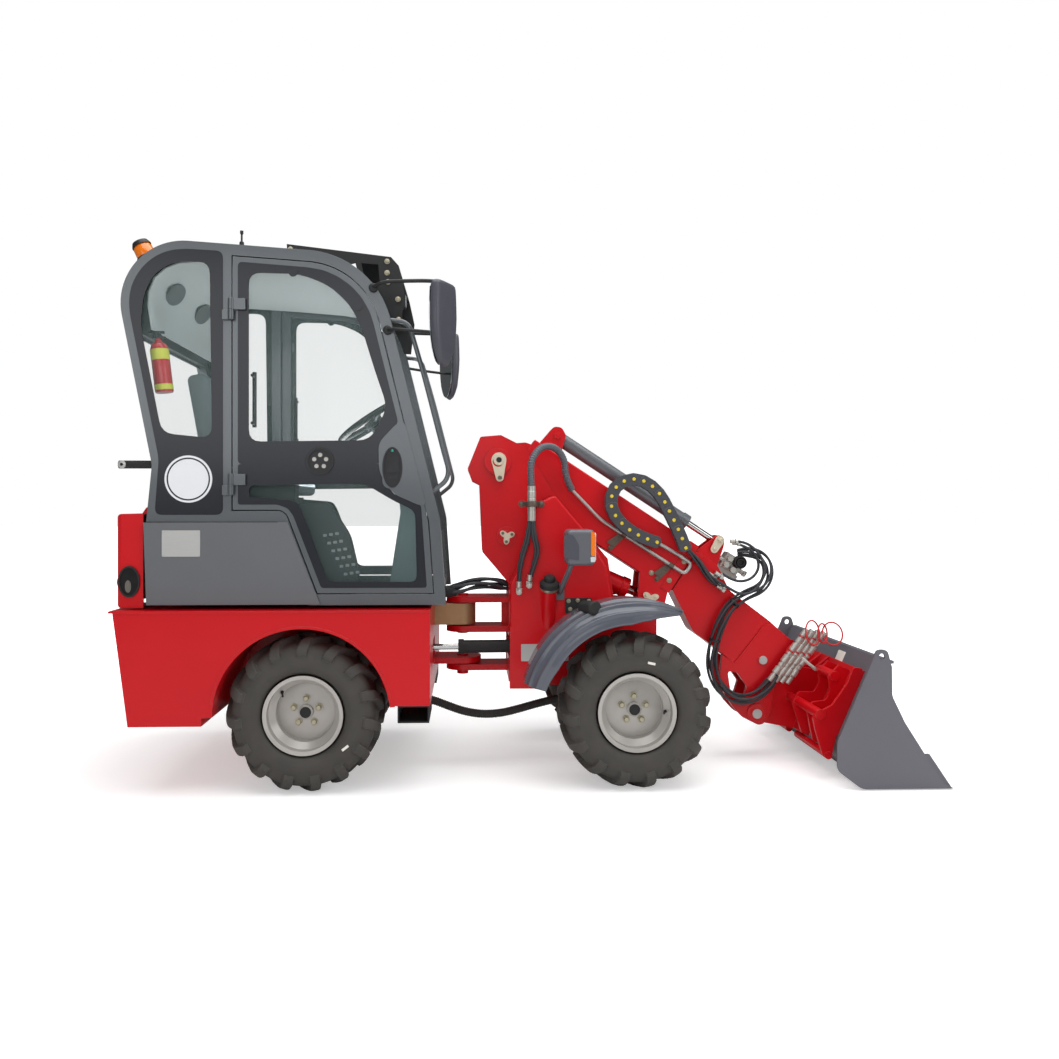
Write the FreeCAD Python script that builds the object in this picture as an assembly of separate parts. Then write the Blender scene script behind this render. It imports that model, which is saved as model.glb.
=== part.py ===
"""Compact articulated wheel loader with a telescopic boom, cab and general-purpose bucket.

Row frame: X forward, Y to the left, Z up, origin on the floor under the middle of the machine.
All sizes are in millimetres. The machine stands on its four wheels, boom down, bucket flat.
"""
import FreeCAD, Part
import math
import os

V = FreeCAD.Vector

# ---------------------------------------------------------------- driving dimensions
WHEELBASE = 1410.0
TRACK = 800.0                 # between the middles of the two tyres of an axle
REAR_OVERHANG = 790.0         # rear axle to the edge of the tail
HITCH_BEHIND_FRONT_AXLE = 745.0

TYRE_RADIUS = 330.0
TYRE_WIDTH = 290.0
RIM_RADIUS = 168.0            # over the flange
RIM_WIDTH = 236.0
AXLE_RADIUS = 46.0
HUB_RADIUS = 72.0

BODY_WIDTH = 1090.0           # over the rear fenders
DECK_Z = 766.0
SKIRT_Z = 296.0
LEG_Z = 374.0
ARCH_CLEARANCE = 38.0
SKIN = 8.0
RAIL_Y = 205.0                # outer face of the chassis rails
RAIL_WALL = 14.0

CAB_WIDTH = 984.0
CAB_TUBE = 46.0
CAB_TUBE_DEPTH = 48.0
CAB_SILL_Z = 790.0
CAB_DECK_Z = 1142.0
CAB_ROOF_Z = 2288.0
CAB_FOOT_X = 598.0            # A-pillar foot, ahead of the rear axle
DOOR_GAP = 5.0
DOOR_THICK = 28.0
DOOR_FRAME = 44.0
GLASS = 6.0
PILLAR_WIDTH = 46.0
SIDE_COVER_THICK = 10.0

BUCKET_WIDTH = 1100.0
BUCKET_PLATE = 8.0
BUCKET_SIDE = 10.0
BUCKET_CLEARANCE = 6.0        # floor to the underside of the parked bucket

BOOM_ANGLE = 33.2             # below the horizontal, parked
BOOM_PIVOT_Z = 1417.0
BOOM_PIVOT_BEHIND_AXLE = 579.0
BOOM_LENGTH = 1022.0          # pivot to the mouth of the outer tube
BOOM_TOP = 186.0
BOOM_BOTTOM = -70.0
BOOM_WIDTH = 160.0
BOOM_WALL = 10.0
INNER_GAP = 6.0
EXTEND_STROKE = 500.0
NECK_GAP = 10.0               # boom mouth to the neck's shoulder
PIN_RADIUS = 25.0
PIN_FIT = 0.3

TOWER_WALL = 16.0
TOWER_GAP = 10.0              # boom side to the tower plate
TANK_WIDTH = 118.0

FIT = 0.3                     # between bolted or seated pieces
GREASE_GAP = 5.5              # between pieces that turn past each other
BEND_SHARE = 0.45             # share of a run that a bend may take at each end

# ---------------------------------------------------------------- places worked out from them
ANGLE = math.radians(BOOM_ANGLE)
HITCH_D, HITCH_N = 1687.0, -326.0     # tool pivot, along and above the boom's axis
BUCKET_REACH = 696.0                  # tool pivot to the cutting edge
PIVOT_TO_TOOL = HITCH_D * math.cos(ANGLE) + HITCH_N * math.sin(ANGLE)
LENGTH = (REAR_OVERHANG + WHEELBASE - BOOM_PIVOT_BEHIND_AXLE + PIVOT_TO_TOOL + BUCKET_REACH)
X_TAIL = -LENGTH / 2
REAR_X = X_TAIL + REAR_OVERHANG
FRONT_X = REAR_X + WHEELBASE
HITCH_X = FRONT_X - HITCH_BEHIND_FRONT_AXLE
BOOM_X = FRONT_X - BOOM_PIVOT_BEHIND_AXLE
AXLE_Z = TYRE_RADIUS
ARCH_RADIUS = TYRE_RADIUS + ARCH_CLEARANCE
SIDE_Y = BODY_WIDTH / 2
WHEEL_Y = TRACK / 2
CAB_Y = CAB_WIDTH / 2
BUCKET_Y = BUCKET_WIDTH / 2
TOWER_IN = BOOM_WIDTH / 2 + TOWER_GAP
TOWER_OUT = TOWER_IN + TOWER_WALL
TOOL_X = BOOM_X + PIVOT_TO_TOOL
TOOL_Z = BOOM_PIVOT_Z - HITCH_D * math.sin(ANGLE) + HITCH_N * math.cos(ANGLE)


# ---------------------------------------------------------------- shape helpers
def box(x, y, z):
    """A block between the low and high values of each axis."""
    return Part.makeBox(x[1] - x[0], y[1] - y[0], z[1] - z[0], V(x[0], y[0], z[0]))


def rod(start, end, radius):
    """A round bar from one point to another."""
    a, b = V(*start), V(*end)
    return Part.makeCylinder(radius, (b - a).Length, a, b - a)


def toward(start, end, distance):
    """The point at a distance from one point towards another."""
    a, b = V(*start), V(*end)
    return a + (b - a).normalize() * distance


def across(x, z, radius, y0, y1):
    """A round bar along Y."""
    return Part.makeCylinder(radius, y1 - y0, V(x, y0, z), V(0, 1, 0))


def upright(x, y, radius, z0, z1):
    """A round bar along Z."""
    return Part.makeCylinder(radius, z1 - z0, V(x, y, z0), V(0, 0, 1))


def outline(corners, y=0.0):
    """A closed wire in an XZ plane. Each corner is (x, z) or (x, z, radius)."""
    pts = [V(c[0], y, c[1]) for c in corners]
    radii = [c[2] if len(c) > 2 else 0.0 for c in corners]
    count = len(pts)
    starts, ends, arcs = [], [], []
    for i, p in enumerate(pts):
        before = (pts[i - 1] - p).normalize()
        after = (pts[(i + 1) % count] - p).normalize()
        if radii[i] <= 0:
            starts.append(p)
            ends.append(p)
            arcs.append(None)
            continue
        half = before.getAngle(after) / 2
        cut = radii[i] / math.tan(half)
        first, last = p + before * cut, p + after * cut
        bisector = (before + after).normalize()
        centre = p + bisector * (radii[i] / math.sin(half))
        middle = centre - bisector * radii[i]
        starts.append(first)
        ends.append(last)
        arcs.append(Part.Arc(first, middle, last).toShape())
    edges = []
    for i in range(count):
        if arcs[i]:
            edges.append(arcs[i])
        a, b = ends[i], starts[(i + 1) % count]
        if (b - a).Length > 1e-6:
            edges.append(Part.LineSegment(a, b).toShape())
    return Part.Wire(edges)


def plate(corners, y0, y1):
    """A flat plate with that outline, between two Y values."""
    return Part.Face(outline(corners, y0)).extrude(V(0, y1 - y0, 0))


def slab(face, y0, y1):
    """A face drawn at Y 0, moved to y0 and thickened to y1."""
    moved = face.copy()
    moved.translate(V(0, y0, 0))
    return moved.extrude(V(0, y1 - y0, 0))


def mirrored(shape):
    """The same piece on the other side of the machine."""
    return shape.mirror(V(0, 0, 0), V(0, 1, 0))


def both_sides(*shapes):
    """Each piece and its mirror image."""
    return [s for shape in shapes for s in (shape, mirrored(shape))]


def fuse(*shapes):
    """One welded solid."""
    whole = shapes[0].fuse(list(shapes[1:])) if len(shapes) > 1 else shapes[0]
    return whole.removeSplitter()


def save(name, *shapes):
    """Writes a node as parts/NAME.step."""
    solids = [s for shape in shapes for s in shape.Solids]
    shape = solids[0] if len(solids) == 1 else Part.makeCompound(solids)
    shape.exportStep("parts/%s.step" % name)


def turned(profile, x, y, z):
    """A ring turned about a wheel's axle. The profile is a list of (radius, y) points."""
    pts = [V(r, w, 0) for r, w in profile]
    face = Part.Face(Part.makePolygon(pts + pts[:1]))
    solid = face.revolve(V(0, 0, 0), V(0, 1, 0), 360)
    solid.translate(V(x, y, z))
    return solid


def bends(pts):
    """For each inner corner: directions back and ahead, length cut off each run, half angle, radius."""
    found = []
    for i in range(1, len(pts) - 1):
        back, ahead = pts[i - 1] - pts[i], pts[i + 1] - pts[i]
        cut = BEND_SHARE * min(back.Length, ahead.Length)
        back.normalize()
        ahead.normalize()
        half = back.getAngle(ahead) / 2
        found.append((back, ahead, cut, half, cut * math.tan(half)))
    return found


def bent_tube(points, radius):
    """A round tube along straight runs joined by tangent arcs."""
    pts = [V(*p) for p in points]
    edges, here = [], pts[0]
    for i, (back, ahead, cut, half, bend) in enumerate(bends(pts), 1):
        first, last = pts[i] + back * cut, pts[i] + ahead * cut
        bisector = (back + ahead).normalize()
        middle = pts[i] + bisector * (bend / math.sin(half) - bend)
        edges.append(Part.LineSegment(here, first).toShape())
        edges.append(Part.Arc(first, middle, last).toShape())
        here = last
    edges.append(Part.LineSegment(here, pts[-1]).toShape())
    path = Part.Wire(edges)
    section = Part.Wire(Part.makeCircle(radius, pts[0], pts[1] - pts[0]))
    tube = path.makePipeShell([section], True, False)
    return tube if isinstance(tube, Part.Solid) else Part.Solid(tube)


def boom_frame(shape):
    """Puts a piece drawn along the boom's axis (X along it, Z above it) where the boom parks."""
    moved = shape.copy()
    moved.rotate(V(0, 0, 0), V(0, 1, 0), BOOM_ANGLE)
    moved.translate(V(BOOM_X, 0, BOOM_PIVOT_Z))
    return moved


def on_boom(d, n):
    """(x, z) of a point given along and above the boom's axis."""
    return (BOOM_X + d * math.cos(ANGLE) + n * math.sin(ANGLE),
            BOOM_PIVOT_Z - d * math.sin(ANGLE) + n * math.cos(ANGLE))


# ---------------------------------------------------------------- wheels
RIM_DISC_AT = 26.0            # disc, outboard of the tyre's middle
HUB_BORE = 30.0
GEAR_CASE_R = 108.0           # round gear case in the middle of each axle
WHEEL_NUTS = 5
NUT_CIRCLE = 56.0
HUB_FACE = WHEEL_Y + RIM_DISC_AT - 6 - GREASE_GAP


def tyre(x, y):
    """A wide low-pressure tyre, open where its rim goes."""
    half = TYRE_WIDTH / 2
    seat = RIM_RADIUS - 10
    bead = RIM_WIDTH / 2 - 12
    crown = TYRE_RADIUS
    profile = [
        (seat, -bead), (RIM_RADIUS + 10, -bead - 4), (RIM_RADIUS + 45, -half + 8), (crown - 75, -half),
        (crown - 22, -half + 14), (crown, -half + 45), (crown, half - 45), (crown - 22, half - 14),
        (crown - 75, half), (RIM_RADIUS + 45, half - 8), (RIM_RADIUS + 10, bead + 4), (seat, bead),
        (seat, bead - 14), (crown - 60, half - 40), (crown - 42, half - 70), (crown - 42, -half + 70),
        (crown - 60, -half + 40), (seat, -bead + 14),
    ]
    return turned(profile, x, y, AXLE_Z)


def rim(x, side):
    """A pressed disc wheel with a deep-set disc, hub cap and five wheel nuts. side is -1 right, +1 left."""
    half = RIM_WIDTH / 2
    wall = 6.0
    seat = RIM_RADIUS - 10 - FIT
    drop = seat - 26
    disc_at = RIM_DISC_AT
    profile = [(RIM_RADIUS, -half), (RIM_RADIUS, -half + 6), (seat, -half + 10), (seat, -half + 46),
               (drop, -half + 70), (drop, half - 60), (seat, half - 38), (seat, half - 10),
               (RIM_RADIUS, half - 6), (RIM_RADIUS, half), (seat - wall, half - 4),
               (seat - wall, half - 40), (drop - wall, half - 62), (drop - wall, -half + 72),
               (seat - wall, -half + 48), (seat - wall, -half + 4), ]
    shell = turned(profile, 0, 0, 0)
    disc = turned([(HUB_BORE, disc_at), (drop - wall + 1, disc_at - 14), (drop - wall + 1, disc_at - 6),
                   (HUB_BORE, disc_at + 8)], 0, 0, 0)
    cap = turned([(0, disc_at - 6), (HUB_BORE + 1, disc_at - 6), (HUB_BORE + 1, disc_at + 24),
                  (24, disc_at + 30), (0, disc_at + 30)], 0, 0, 0)
    nuts = []
    for i in range(WHEEL_NUTS):
        a = 2 * math.pi * i / WHEEL_NUTS + math.pi / 2
        nx, nz = NUT_CIRCLE * math.cos(a), NUT_CIRCLE * math.sin(a)
        nuts.append(Part.makeCylinder(9, 20, V(nx, disc_at, nz), V(0, 1, 0)))
    solid = fuse(shell, disc, cap, *nuts)
    if side < 0:
        solid = mirrored(solid)
    solid.translate(V(x, side * WHEEL_Y, AXLE_Z))
    return solid


def axle(x):
    """An axle beam with its gear case and two hub flanges that stop short of the turning discs."""
    beam = across(x, AXLE_Z, AXLE_RADIUS, -HUB_FACE + 40, HUB_FACE - 40)
    case = Part.makeSphere(GEAR_CASE_R, V(x, 0, AXLE_Z))
    drum = across(x, AXLE_Z, HUB_RADIUS, -RAIL_Y - 70, RAIL_Y + 70)
    hubs = both_sides(across(x, AXLE_Z, HUB_RADIUS - 8, HUB_FACE - 60, HUB_FACE))
    return fuse(beam, case, drum, *hubs)


def build_wheels():
    for end, x in (("rear", REAR_X), ("front", FRONT_X)):
        for name, side in (("right", -1), ("left", 1)):
            save("tyre_%s_%s" % (end, name), tyre(x, side * WHEEL_Y))
            save("rim_%s_%s" % (end, name), rim(x, side))


# ---------------------------------------------------------------- rear frame
FRAME_FRONT_X = HITCH_X - 132
LEG_BACK_X = REAR_X + ARCH_RADIUS + 18
TAIL_SLOPE = 78.0             # the tail's foot stands this far ahead of its top
TAIL_FOOT_X = REAR_X - ARCH_RADIUS - 44
UPPER_EAR_Z = (612.0, 752.0)  # front frame's upper hitch plates, undersides
LOWER_EAR_Z = 432.0
EAR_THICK = 28.0
KNUCKLE_R = 62.0
HITCH_PIN_R = 27.0
STEER_Z = 552.0
EYE_SPACE = 26.0              # half the height left free for the steering rod's eye
TOW_Z = 470.0
TOW_X = X_TAIL + 6            # back edge of the towing jaw
TOW_PIN_X = TOW_X + 30
TOW_BORE = 16.0


def arch_plug(radius, y0, y1):
    """The round space round a rear wheel, open downwards."""
    tunnel = across(REAR_X, AXLE_Z, radius, y0, y1)
    below = box((REAR_X - radius, REAR_X + radius), (y0, y1), (0, AXLE_Z))
    return tunnel.fuse(below)


def skirt_corners(inset=0.0):
    """Side view of the rear body from tail to front leg."""
    return [(X_TAIL + 16 + inset, DECK_Z), (X_TAIL + TAIL_SLOPE + inset, SKIRT_Z + inset),
            (TAIL_FOOT_X - inset, SKIRT_Z + inset), (TAIL_FOOT_X - inset, AXLE_Z + inset),
            (LEG_BACK_X, AXLE_Z + 40), (LEG_BACK_X + inset, LEG_Z + inset),
            (FRAME_FRONT_X - inset, LEG_Z + inset), (FRAME_FRONT_X - inset, DECK_Z), ]


def build_rear_frame():
    inner = RAIL_Y - RAIL_WALL
    rail = plate([(X_TAIL + 40, DECK_Z), (X_TAIL + TAIL_SLOPE + 10, SKIRT_Z + 20),
                  (REAR_X - 120, SKIRT_Z + 20), (REAR_X - 90, AXLE_Z + 20), (REAR_X + 90, AXLE_Z + 20),
                  (REAR_X + 120, LEG_Z), (FRAME_FRONT_X, LEG_Z), (FRAME_FRONT_X, DECK_Z)], inner, RAIL_Y)
    rails = both_sides(rail)
    floor = box((X_TAIL + TAIL_SLOPE + 14, REAR_X - 130), (-inner - 2, inner + 2),
                (SKIRT_Z + 20, SKIRT_Z + 32))
    tail = plate([(X_TAIL + 40, DECK_Z), (X_TAIL + TAIL_SLOPE + 10, SKIRT_Z + 20),
                  (X_TAIL + TAIL_SLOPE + 26, SKIRT_Z + 20), (X_TAIL + 56, DECK_Z)], -inner - 2, inner + 2)
    bulkhead = box((FRAME_FRONT_X - 16, FRAME_FRONT_X), (-inner - 2, inner + 2), (LEG_Z, DECK_Z))
    slot = steer_slot(-RAIL_Y - 5)
    bracket = fuse(*[box((STEER_EYE[0] - 45, FRAME_FRONT_X - 2), (-inner - 2, -inner + 110), (z, z + 10))
                     for z in (STEER_Z - EYE_SPACE - 10, STEER_Z + EYE_SPACE)])
    saddle = box((REAR_X - 90, REAR_X + 90), (-inner - 2, inner + 2), (AXLE_Z + 112, AXLE_Z + 128))
    # upper knuckle: a cast arm that runs between the front frame's upper ears
    arm_z = (UPPER_EAR_Z[0] + EAR_THICK + GREASE_GAP, UPPER_EAR_Z[1] - GREASE_GAP)
    upper = fuse(box((FRAME_FRONT_X - 20, HITCH_X), (-KNUCKLE_R, KNUCKLE_R), arm_z),
                 upright(HITCH_X, 0, KNUCKLE_R, *arm_z))
    low_z = (LOWER_EAR_Z + EAR_THICK + GREASE_GAP, LOWER_EAR_Z + 2 * EAR_THICK + GREASE_GAP)
    lower = fuse(box((FRAME_FRONT_X - 20, HITCH_X), (-KNUCKLE_R - 26, KNUCKLE_R + 26), low_z),
                 upright(HITCH_X, 0, KNUCKLE_R + 26, *low_z))
    bores = [upright(HITCH_X, 0, HITCH_PIN_R + PIN_FIT, 300, DECK_Z + 200)]
    # towing jaw on the tail
    jaw_x = X_TAIL + TAIL_SLOPE * (DECK_Z - TOW_Z) / (DECK_Z - SKIRT_Z) + 26
    jaw = fuse(*[box((TOW_X, jaw_x + 30), (-45, 45), (z, z + 14)) for z in (TOW_Z - 44, TOW_Z + 30)],
               box((jaw_x - 4, jaw_x + 30), (-60, 60), (TOW_Z - 60, TOW_Z + 60)))
    jaw = jaw.cut(upright(TOW_PIN_X, 0, TOW_BORE, TOW_Z - 100, TOW_Z + 100))
    frame = fuse(*rails, floor, tail, bulkhead, saddle, upper, lower, jaw,
                 bracket).cut(fuse(*bores)).cut(slot)
    frame = frame.cut(across(REAR_X, AXLE_Z, HUB_RADIUS + FIT, -RAIL_Y - 90, RAIL_Y + 90))
    save("rear_frame", frame)


def steer_slot(y_low):
    """The way the steering cylinder takes through the end of the rear frame."""
    return box((FRAME_FRONT_X - 48, FRAME_FRONT_X + 60), (y_low, -60), (STEER_Z - 48, STEER_Z + 48))


def build_rear_fenders():
    """Red side boxes with the wheel arches, deck flange and the step's leg, one each side."""
    y_in, y_out = RAIL_Y + FIT, SIDE_Y
    outer = plate(skirt_corners(), y_in, y_out)
    hollow = plate(skirt_corners(SKIN), y_in - 1, y_out - SKIN)
    shell = outer.cut(hollow.cut(arch_plug(ARCH_RADIUS + SKIN, y_in - 1, y_out)))
    shell = shell.cut(arch_plug(ARCH_RADIUS, y_in - 2, y_out + 2))
    wall = plate(skirt_corners(), y_in, y_in + SKIN).cut(arch_plug(ARCH_RADIUS, y_in - 2, y_out))
    flange = box((X_TAIL, FRAME_FRONT_X), (y_in, y_out + 4), (DECK_Z, DECK_Z + 8))
    rail_notch = box((REAR_X - HUB_RADIUS - 20, REAR_X + HUB_RADIUS + 20), (y_in - 5, y_in + 90),
                     (0, AXLE_Z + 90))
    fender = fuse(shell, wall, flange).cut(rail_notch)
    lip = across(REAR_X, AXLE_Z, ARCH_RADIUS + SKIN + 3, y_out - 3, y_out + 4)
    lip = lip.cut(arch_plug(ARCH_RADIUS, y_out - 30, y_out + 30))
    lip = lip.common(box((REAR_X - 500, LEG_BACK_X), (y_out - 30, y_out + 30), (AXLE_Z + 60, DECK_Z)))
    fender = fuse(fender, lip)
    right = mirrored(fender).cut(steer_slot(-RAIL_Y - 40))
    save("rear_fenders", right, fender)


def build_rear_running_gear():
    save("rear_axle", axle(REAR_X))
    block = box((REAR_X - 560, REAR_X - 130), (-165, 165), (AXLE_Z + 60, CAB_DECK_Z - 60))
    side = RAIL_Y - RAIL_WALL - FIT
    feet = [box((REAR_X + x, REAR_X + x + 60), (-side, side), (AXLE_Z + 180, AXLE_Z + 220))
            for x in (-520, -230)]
    save("engine_block", fuse(block, *feet))


def build_steps_and_stops():
    """Grey step treads under the frame's front legs and the round steering stops."""
    x0 = FRAME_FRONT_X - 136
    tread = box((x0, FRAME_FRONT_X - 4), (RAIL_Y + 70, SIDE_Y - 12), (LEG_Z - 74, LEG_Z - FIT))
    hollow = box((x0 + 6, FRAME_FRONT_X - 10), (RAIL_Y + 64, SIDE_Y - 6), (LEG_Z - 68, LEG_Z - 8))
    step = tread.cut(hollow)
    save("steps", *both_sides(step))


# ---------------------------------------------------------------- hood, covers, lamps
HOOD_FRONT_X = X_TAIL + 120
HOOD_TOP_Z = 1176.0
HOOD_HINGE = (HOOD_FRONT_X - 4, HOOD_TOP_Z + 16)
HOOD_LUG_Y = 390.0
HOOD_Y = CAB_Y - 6
COVER_BACK_X = REAR_X - 652
COVER_FRONT_X = REAR_X - 66   # top corner of the slanted front edge
COVER_SLANT = 150.0
COVER_Z = (DECK_Z + 28, CAB_DECK_Z - 2)


def build_hood():
    """The engine cover: a rounded red tailgate shell, open to the front and below."""
    z0 = DECK_Z + 14
    outer = box((X_TAIL + 6, HOOD_FRONT_X), (-HOOD_Y, HOOD_Y), (z0, HOOD_TOP_Z))
    upright_edges = [e for e in outer.Edges if abs(e.BoundBox.XMax - X_TAIL - 6) < 1e-3]
    outer = outer.makeFillet(26, upright_edges)
    inner = box((X_TAIL + 6 + SKIN, HOOD_FRONT_X + 5), (-HOOD_Y + SKIN, HOOD_Y - SKIN),
                (z0 - 5, HOOD_TOP_Z - SKIN))
    hood = outer.cut(inner)
    port = across(X_TAIL + 52, DECK_Z + 124, 36, -HOOD_Y - 5, -HOOD_Y + 40)
    hood = hood.cut(port)
    collar = across(X_TAIL + 52, DECK_Z + 124, 40, -HOOD_Y - 3, -HOOD_Y + 14)
    collar = collar.cut(across(X_TAIL + 52, DECK_Z + 124, 33, -HOOD_Y - 8, -HOOD_Y + 30))
    hx, hz = HOOD_HINGE
    ear = plate([(hx - 34, HOOD_TOP_Z - 2), (hx - 14, hz + 12, 10), (hx + 12, hz + 12, 8),
                 (hx + 12, hz - 8, 6), (hx - 1, HOOD_TOP_Z - 2)], HOOD_LUG_Y + FIT, HOOD_LUG_Y + 10)
    pin = across(hx, hz, 6, HOOD_LUG_Y - 18, HOOD_LUG_Y + 8)
    save("hood", fuse(hood, collar, *both_sides(ear, pin)))


def cover_corners(inset=0.0):
    return [(COVER_BACK_X + inset, COVER_Z[0] + inset), (COVER_BACK_X - 12 + inset, COVER_Z[1] - inset),
            (COVER_FRONT_X - inset, COVER_Z[1] - inset), (COVER_FRONT_X + COVER_SLANT - 14 - inset,
                                                          COVER_Z[0] + inset)]


def build_side_covers():
    """Grey pressed covers beside the engine and seat box, folded back at their edges."""
    pan = plate(cover_corners(), CAB_Y + FIT - 26, CAB_Y + SIDE_COVER_THICK)
    pan = pan.cut(plate(cover_corners(4), CAB_Y - 30, CAB_Y + SIDE_COVER_THICK - 4))
    pan = pan.cut(slab(CAB_FACE, CAB_Y - 30, CAB_Y + FIT))
    save("side_covers", *both_sides(pan))


def build_rear_lamps():
    """Tail lamps on the hood's back and number-plate lamp arm behind the cab."""
    lamp = box((X_TAIL, X_TAIL + 6 - FIT), (HOOD_Y - 150, HOOD_Y - 40), (HOOD_TOP_Z - 190, HOOD_TOP_Z - 130))
    save("tail_lamps", *both_sides(lamp))
    arm = rod((X_TAIL + 12, -CAB_Y + 30, 1384), (CAB_BACK_X + 60, -CAB_Y + 30, 1384), 17)
    arm = arm.cut(slab(CAB_FACE, -CAB_Y - 5, CAB_Y))
    save("plate_lamps", *both_sides(arm))


# ---------------------------------------------------------------- cab
CAB_FOOT = REAR_X + CAB_FOOT_X
CAB_BACK_X = REAR_X - 632
ROOF_FALL = 0.067             # the roof drops this much per unit forward
A_PILLAR_LEAN = 0.2458
C_PILLAR_LEAN = 0.1978
WAIST_Z = 1381.0
A_KNEE = (CAB_FOOT - 25, 1149.0)
ROOF_X = REAR_X + 25          # where the roof is CAB_ROOF_Z high
PILLAR_X = REAR_X - 348       # rear edge of the B-pillar
SKIN_OUT, SKIN_IN = 8.0, 16.0
PANEL_Y = CAB_Y - CAB_TUBE_DEPTH - FIT
WINDSCREEN_TOP = 2085.0
REAR_GLASS = (1255.0, 1930.0)
HINGE_PIN_R = 7.0
HINGE_KNUCKLE_R = 13.0
HINGE_X = PILLAR_X + PILLAR_WIDTH + 2
HINGE_Y = CAB_Y + HINGE_KNUCKLE_R + 1
HINGE_Z = (1255.0, 1990.0)
FLOOR_Z = CAB_SILL_Z + 10
TUB = 6.0
SEAT_X = REAR_X - 318         # middle of the seat cushion
SEAT_Z = CAB_DECK_Z + 108     # underside of the cushion
WHEEL_RING_R = 178.0
HANDLE_X = REAR_X + 372
HANDLE_Z = 1372.0
LIGHT_Y = 340.0
BEACON_Y = -300.0
MIRROR_Y = 560.0


def meet(p, lean, q, fall):
    """Where a post through p, leaning back by lean per unit up, meets the roof line through q."""
    z = q[1] - fall * (p[0] - q[0])
    for _ in range(30):
        x = p[0] - lean * (z - p[1])
        z = q[1] - fall * (x - q[0])
    return x, z


def cab_corners():
    front = meet(A_KNEE, A_PILLAR_LEAN, (ROOF_X, CAB_ROOF_Z), ROOF_FALL)
    back = meet((CAB_BACK_X, WAIST_Z), C_PILLAR_LEAN, (ROOF_X, CAB_ROOF_Z), ROOF_FALL)
    return [(CAB_FOOT, CAB_SILL_Z), (*A_KNEE, 200), (*front, 380), (*back, 262),
            (CAB_BACK_X, WAIST_Z, 120), (CAB_BACK_X - 24, CAB_DECK_Z), (COVER_FRONT_X - 46, CAB_DECK_Z),
            (COVER_FRONT_X + COVER_SLANT - 62, CAB_SILL_Z), ]


CAB_FACE = Part.Face(outline(cab_corners()))


def inset(distance):
    """The cab's side view, drawn in by a distance."""
    return CAB_FACE.makeOffset2D(-distance)


def part_of(face, x0, x1):
    """The part of a side-view face between two X values."""
    cut = Part.Face(outline([(x0, 0), (x1, 0), (x1, 3000), (x0, 3000)]))
    return face.common(cut).Faces[0]


def ring_slice(outer, inner, half_width, x, z):
    """The cab's skin between two insets, across its width, within a box seen from the side."""
    band = slab(inset(outer).cut(inset(inner)), -half_width, half_width)
    return band.common(box(x, (-half_width, half_width), z))


def build_cab_frame():
    """The safety frame: two tube hoops with B-pillars, joined across by headers and sills."""
    y0, y1 = CAB_Y - CAB_TUBE_DEPTH, CAB_Y
    hoop = slab(CAB_FACE.cut(inset(CAB_TUBE)), y0, y1)
    pillar_face = part_of(inset(CAB_TUBE - 6), PILLAR_X, PILLAR_X + PILLAR_WIDTH)
    side = fuse(hoop, slab(pillar_face, y0, y1))
    pins = [upright(HINGE_X, HINGE_Y, HINGE_PIN_R, z, z + 90) for z in HINGE_Z]
    knuckles = [upright(HINGE_X, HINGE_Y, HINGE_KNUCKLE_R, z, z + 40) for z in HINGE_Z]
    lugs = [box((HINGE_X - 36, HINGE_X), (CAB_Y - 4, HINGE_Y + 4), (z, z + 40)) for z in HINGE_Z]
    sides = both_sides(fuse(side, *pins, *knuckles, *lugs))
    wide = PANEL_Y + 5
    cross = [box((CAB_FOOT - 70, CAB_FOOT - 24), (-wide, wide), (CAB_SILL_Z, CAB_SILL_Z + CAB_TUBE)),
             ring_slice(SKIN_IN, CAB_TUBE, wide, (CAB_FOOT - 420, CAB_FOOT),
                        (WINDSCREEN_TOP + 14, WINDSCREEN_TOP + 70)),
             ring_slice(SKIN_IN, CAB_TUBE, wide, (CAB_BACK_X - 400, CAB_BACK_X + 200),
                        (REAR_GLASS[1] + 12, REAR_GLASS[1] + 60)),
             ring_slice(SKIN_IN, CAB_TUBE, wide, (CAB_BACK_X - 400, CAB_BACK_X + 30),
                        (CAB_DECK_Z + 50, REAR_GLASS[0] - 4)), ]
    hx, hz = HOOD_HINGE
    lug = plate([(hx - 10, hz - 9, 8), (hx - 10, hz + 12, 8), (CAB_BACK_X + 20, hz + 26),
                 (CAB_BACK_X + 20, hz + 4), (hx + 20, hz - 9, 8)], HOOD_LUG_Y - 14, HOOD_LUG_Y - 2)
    lug = lug.cut(across(hx, hz, 6 + FIT, 0, CAB_Y))
    save("cab_frame", fuse(*sides, *cross, *both_sides(lug)))


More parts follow.
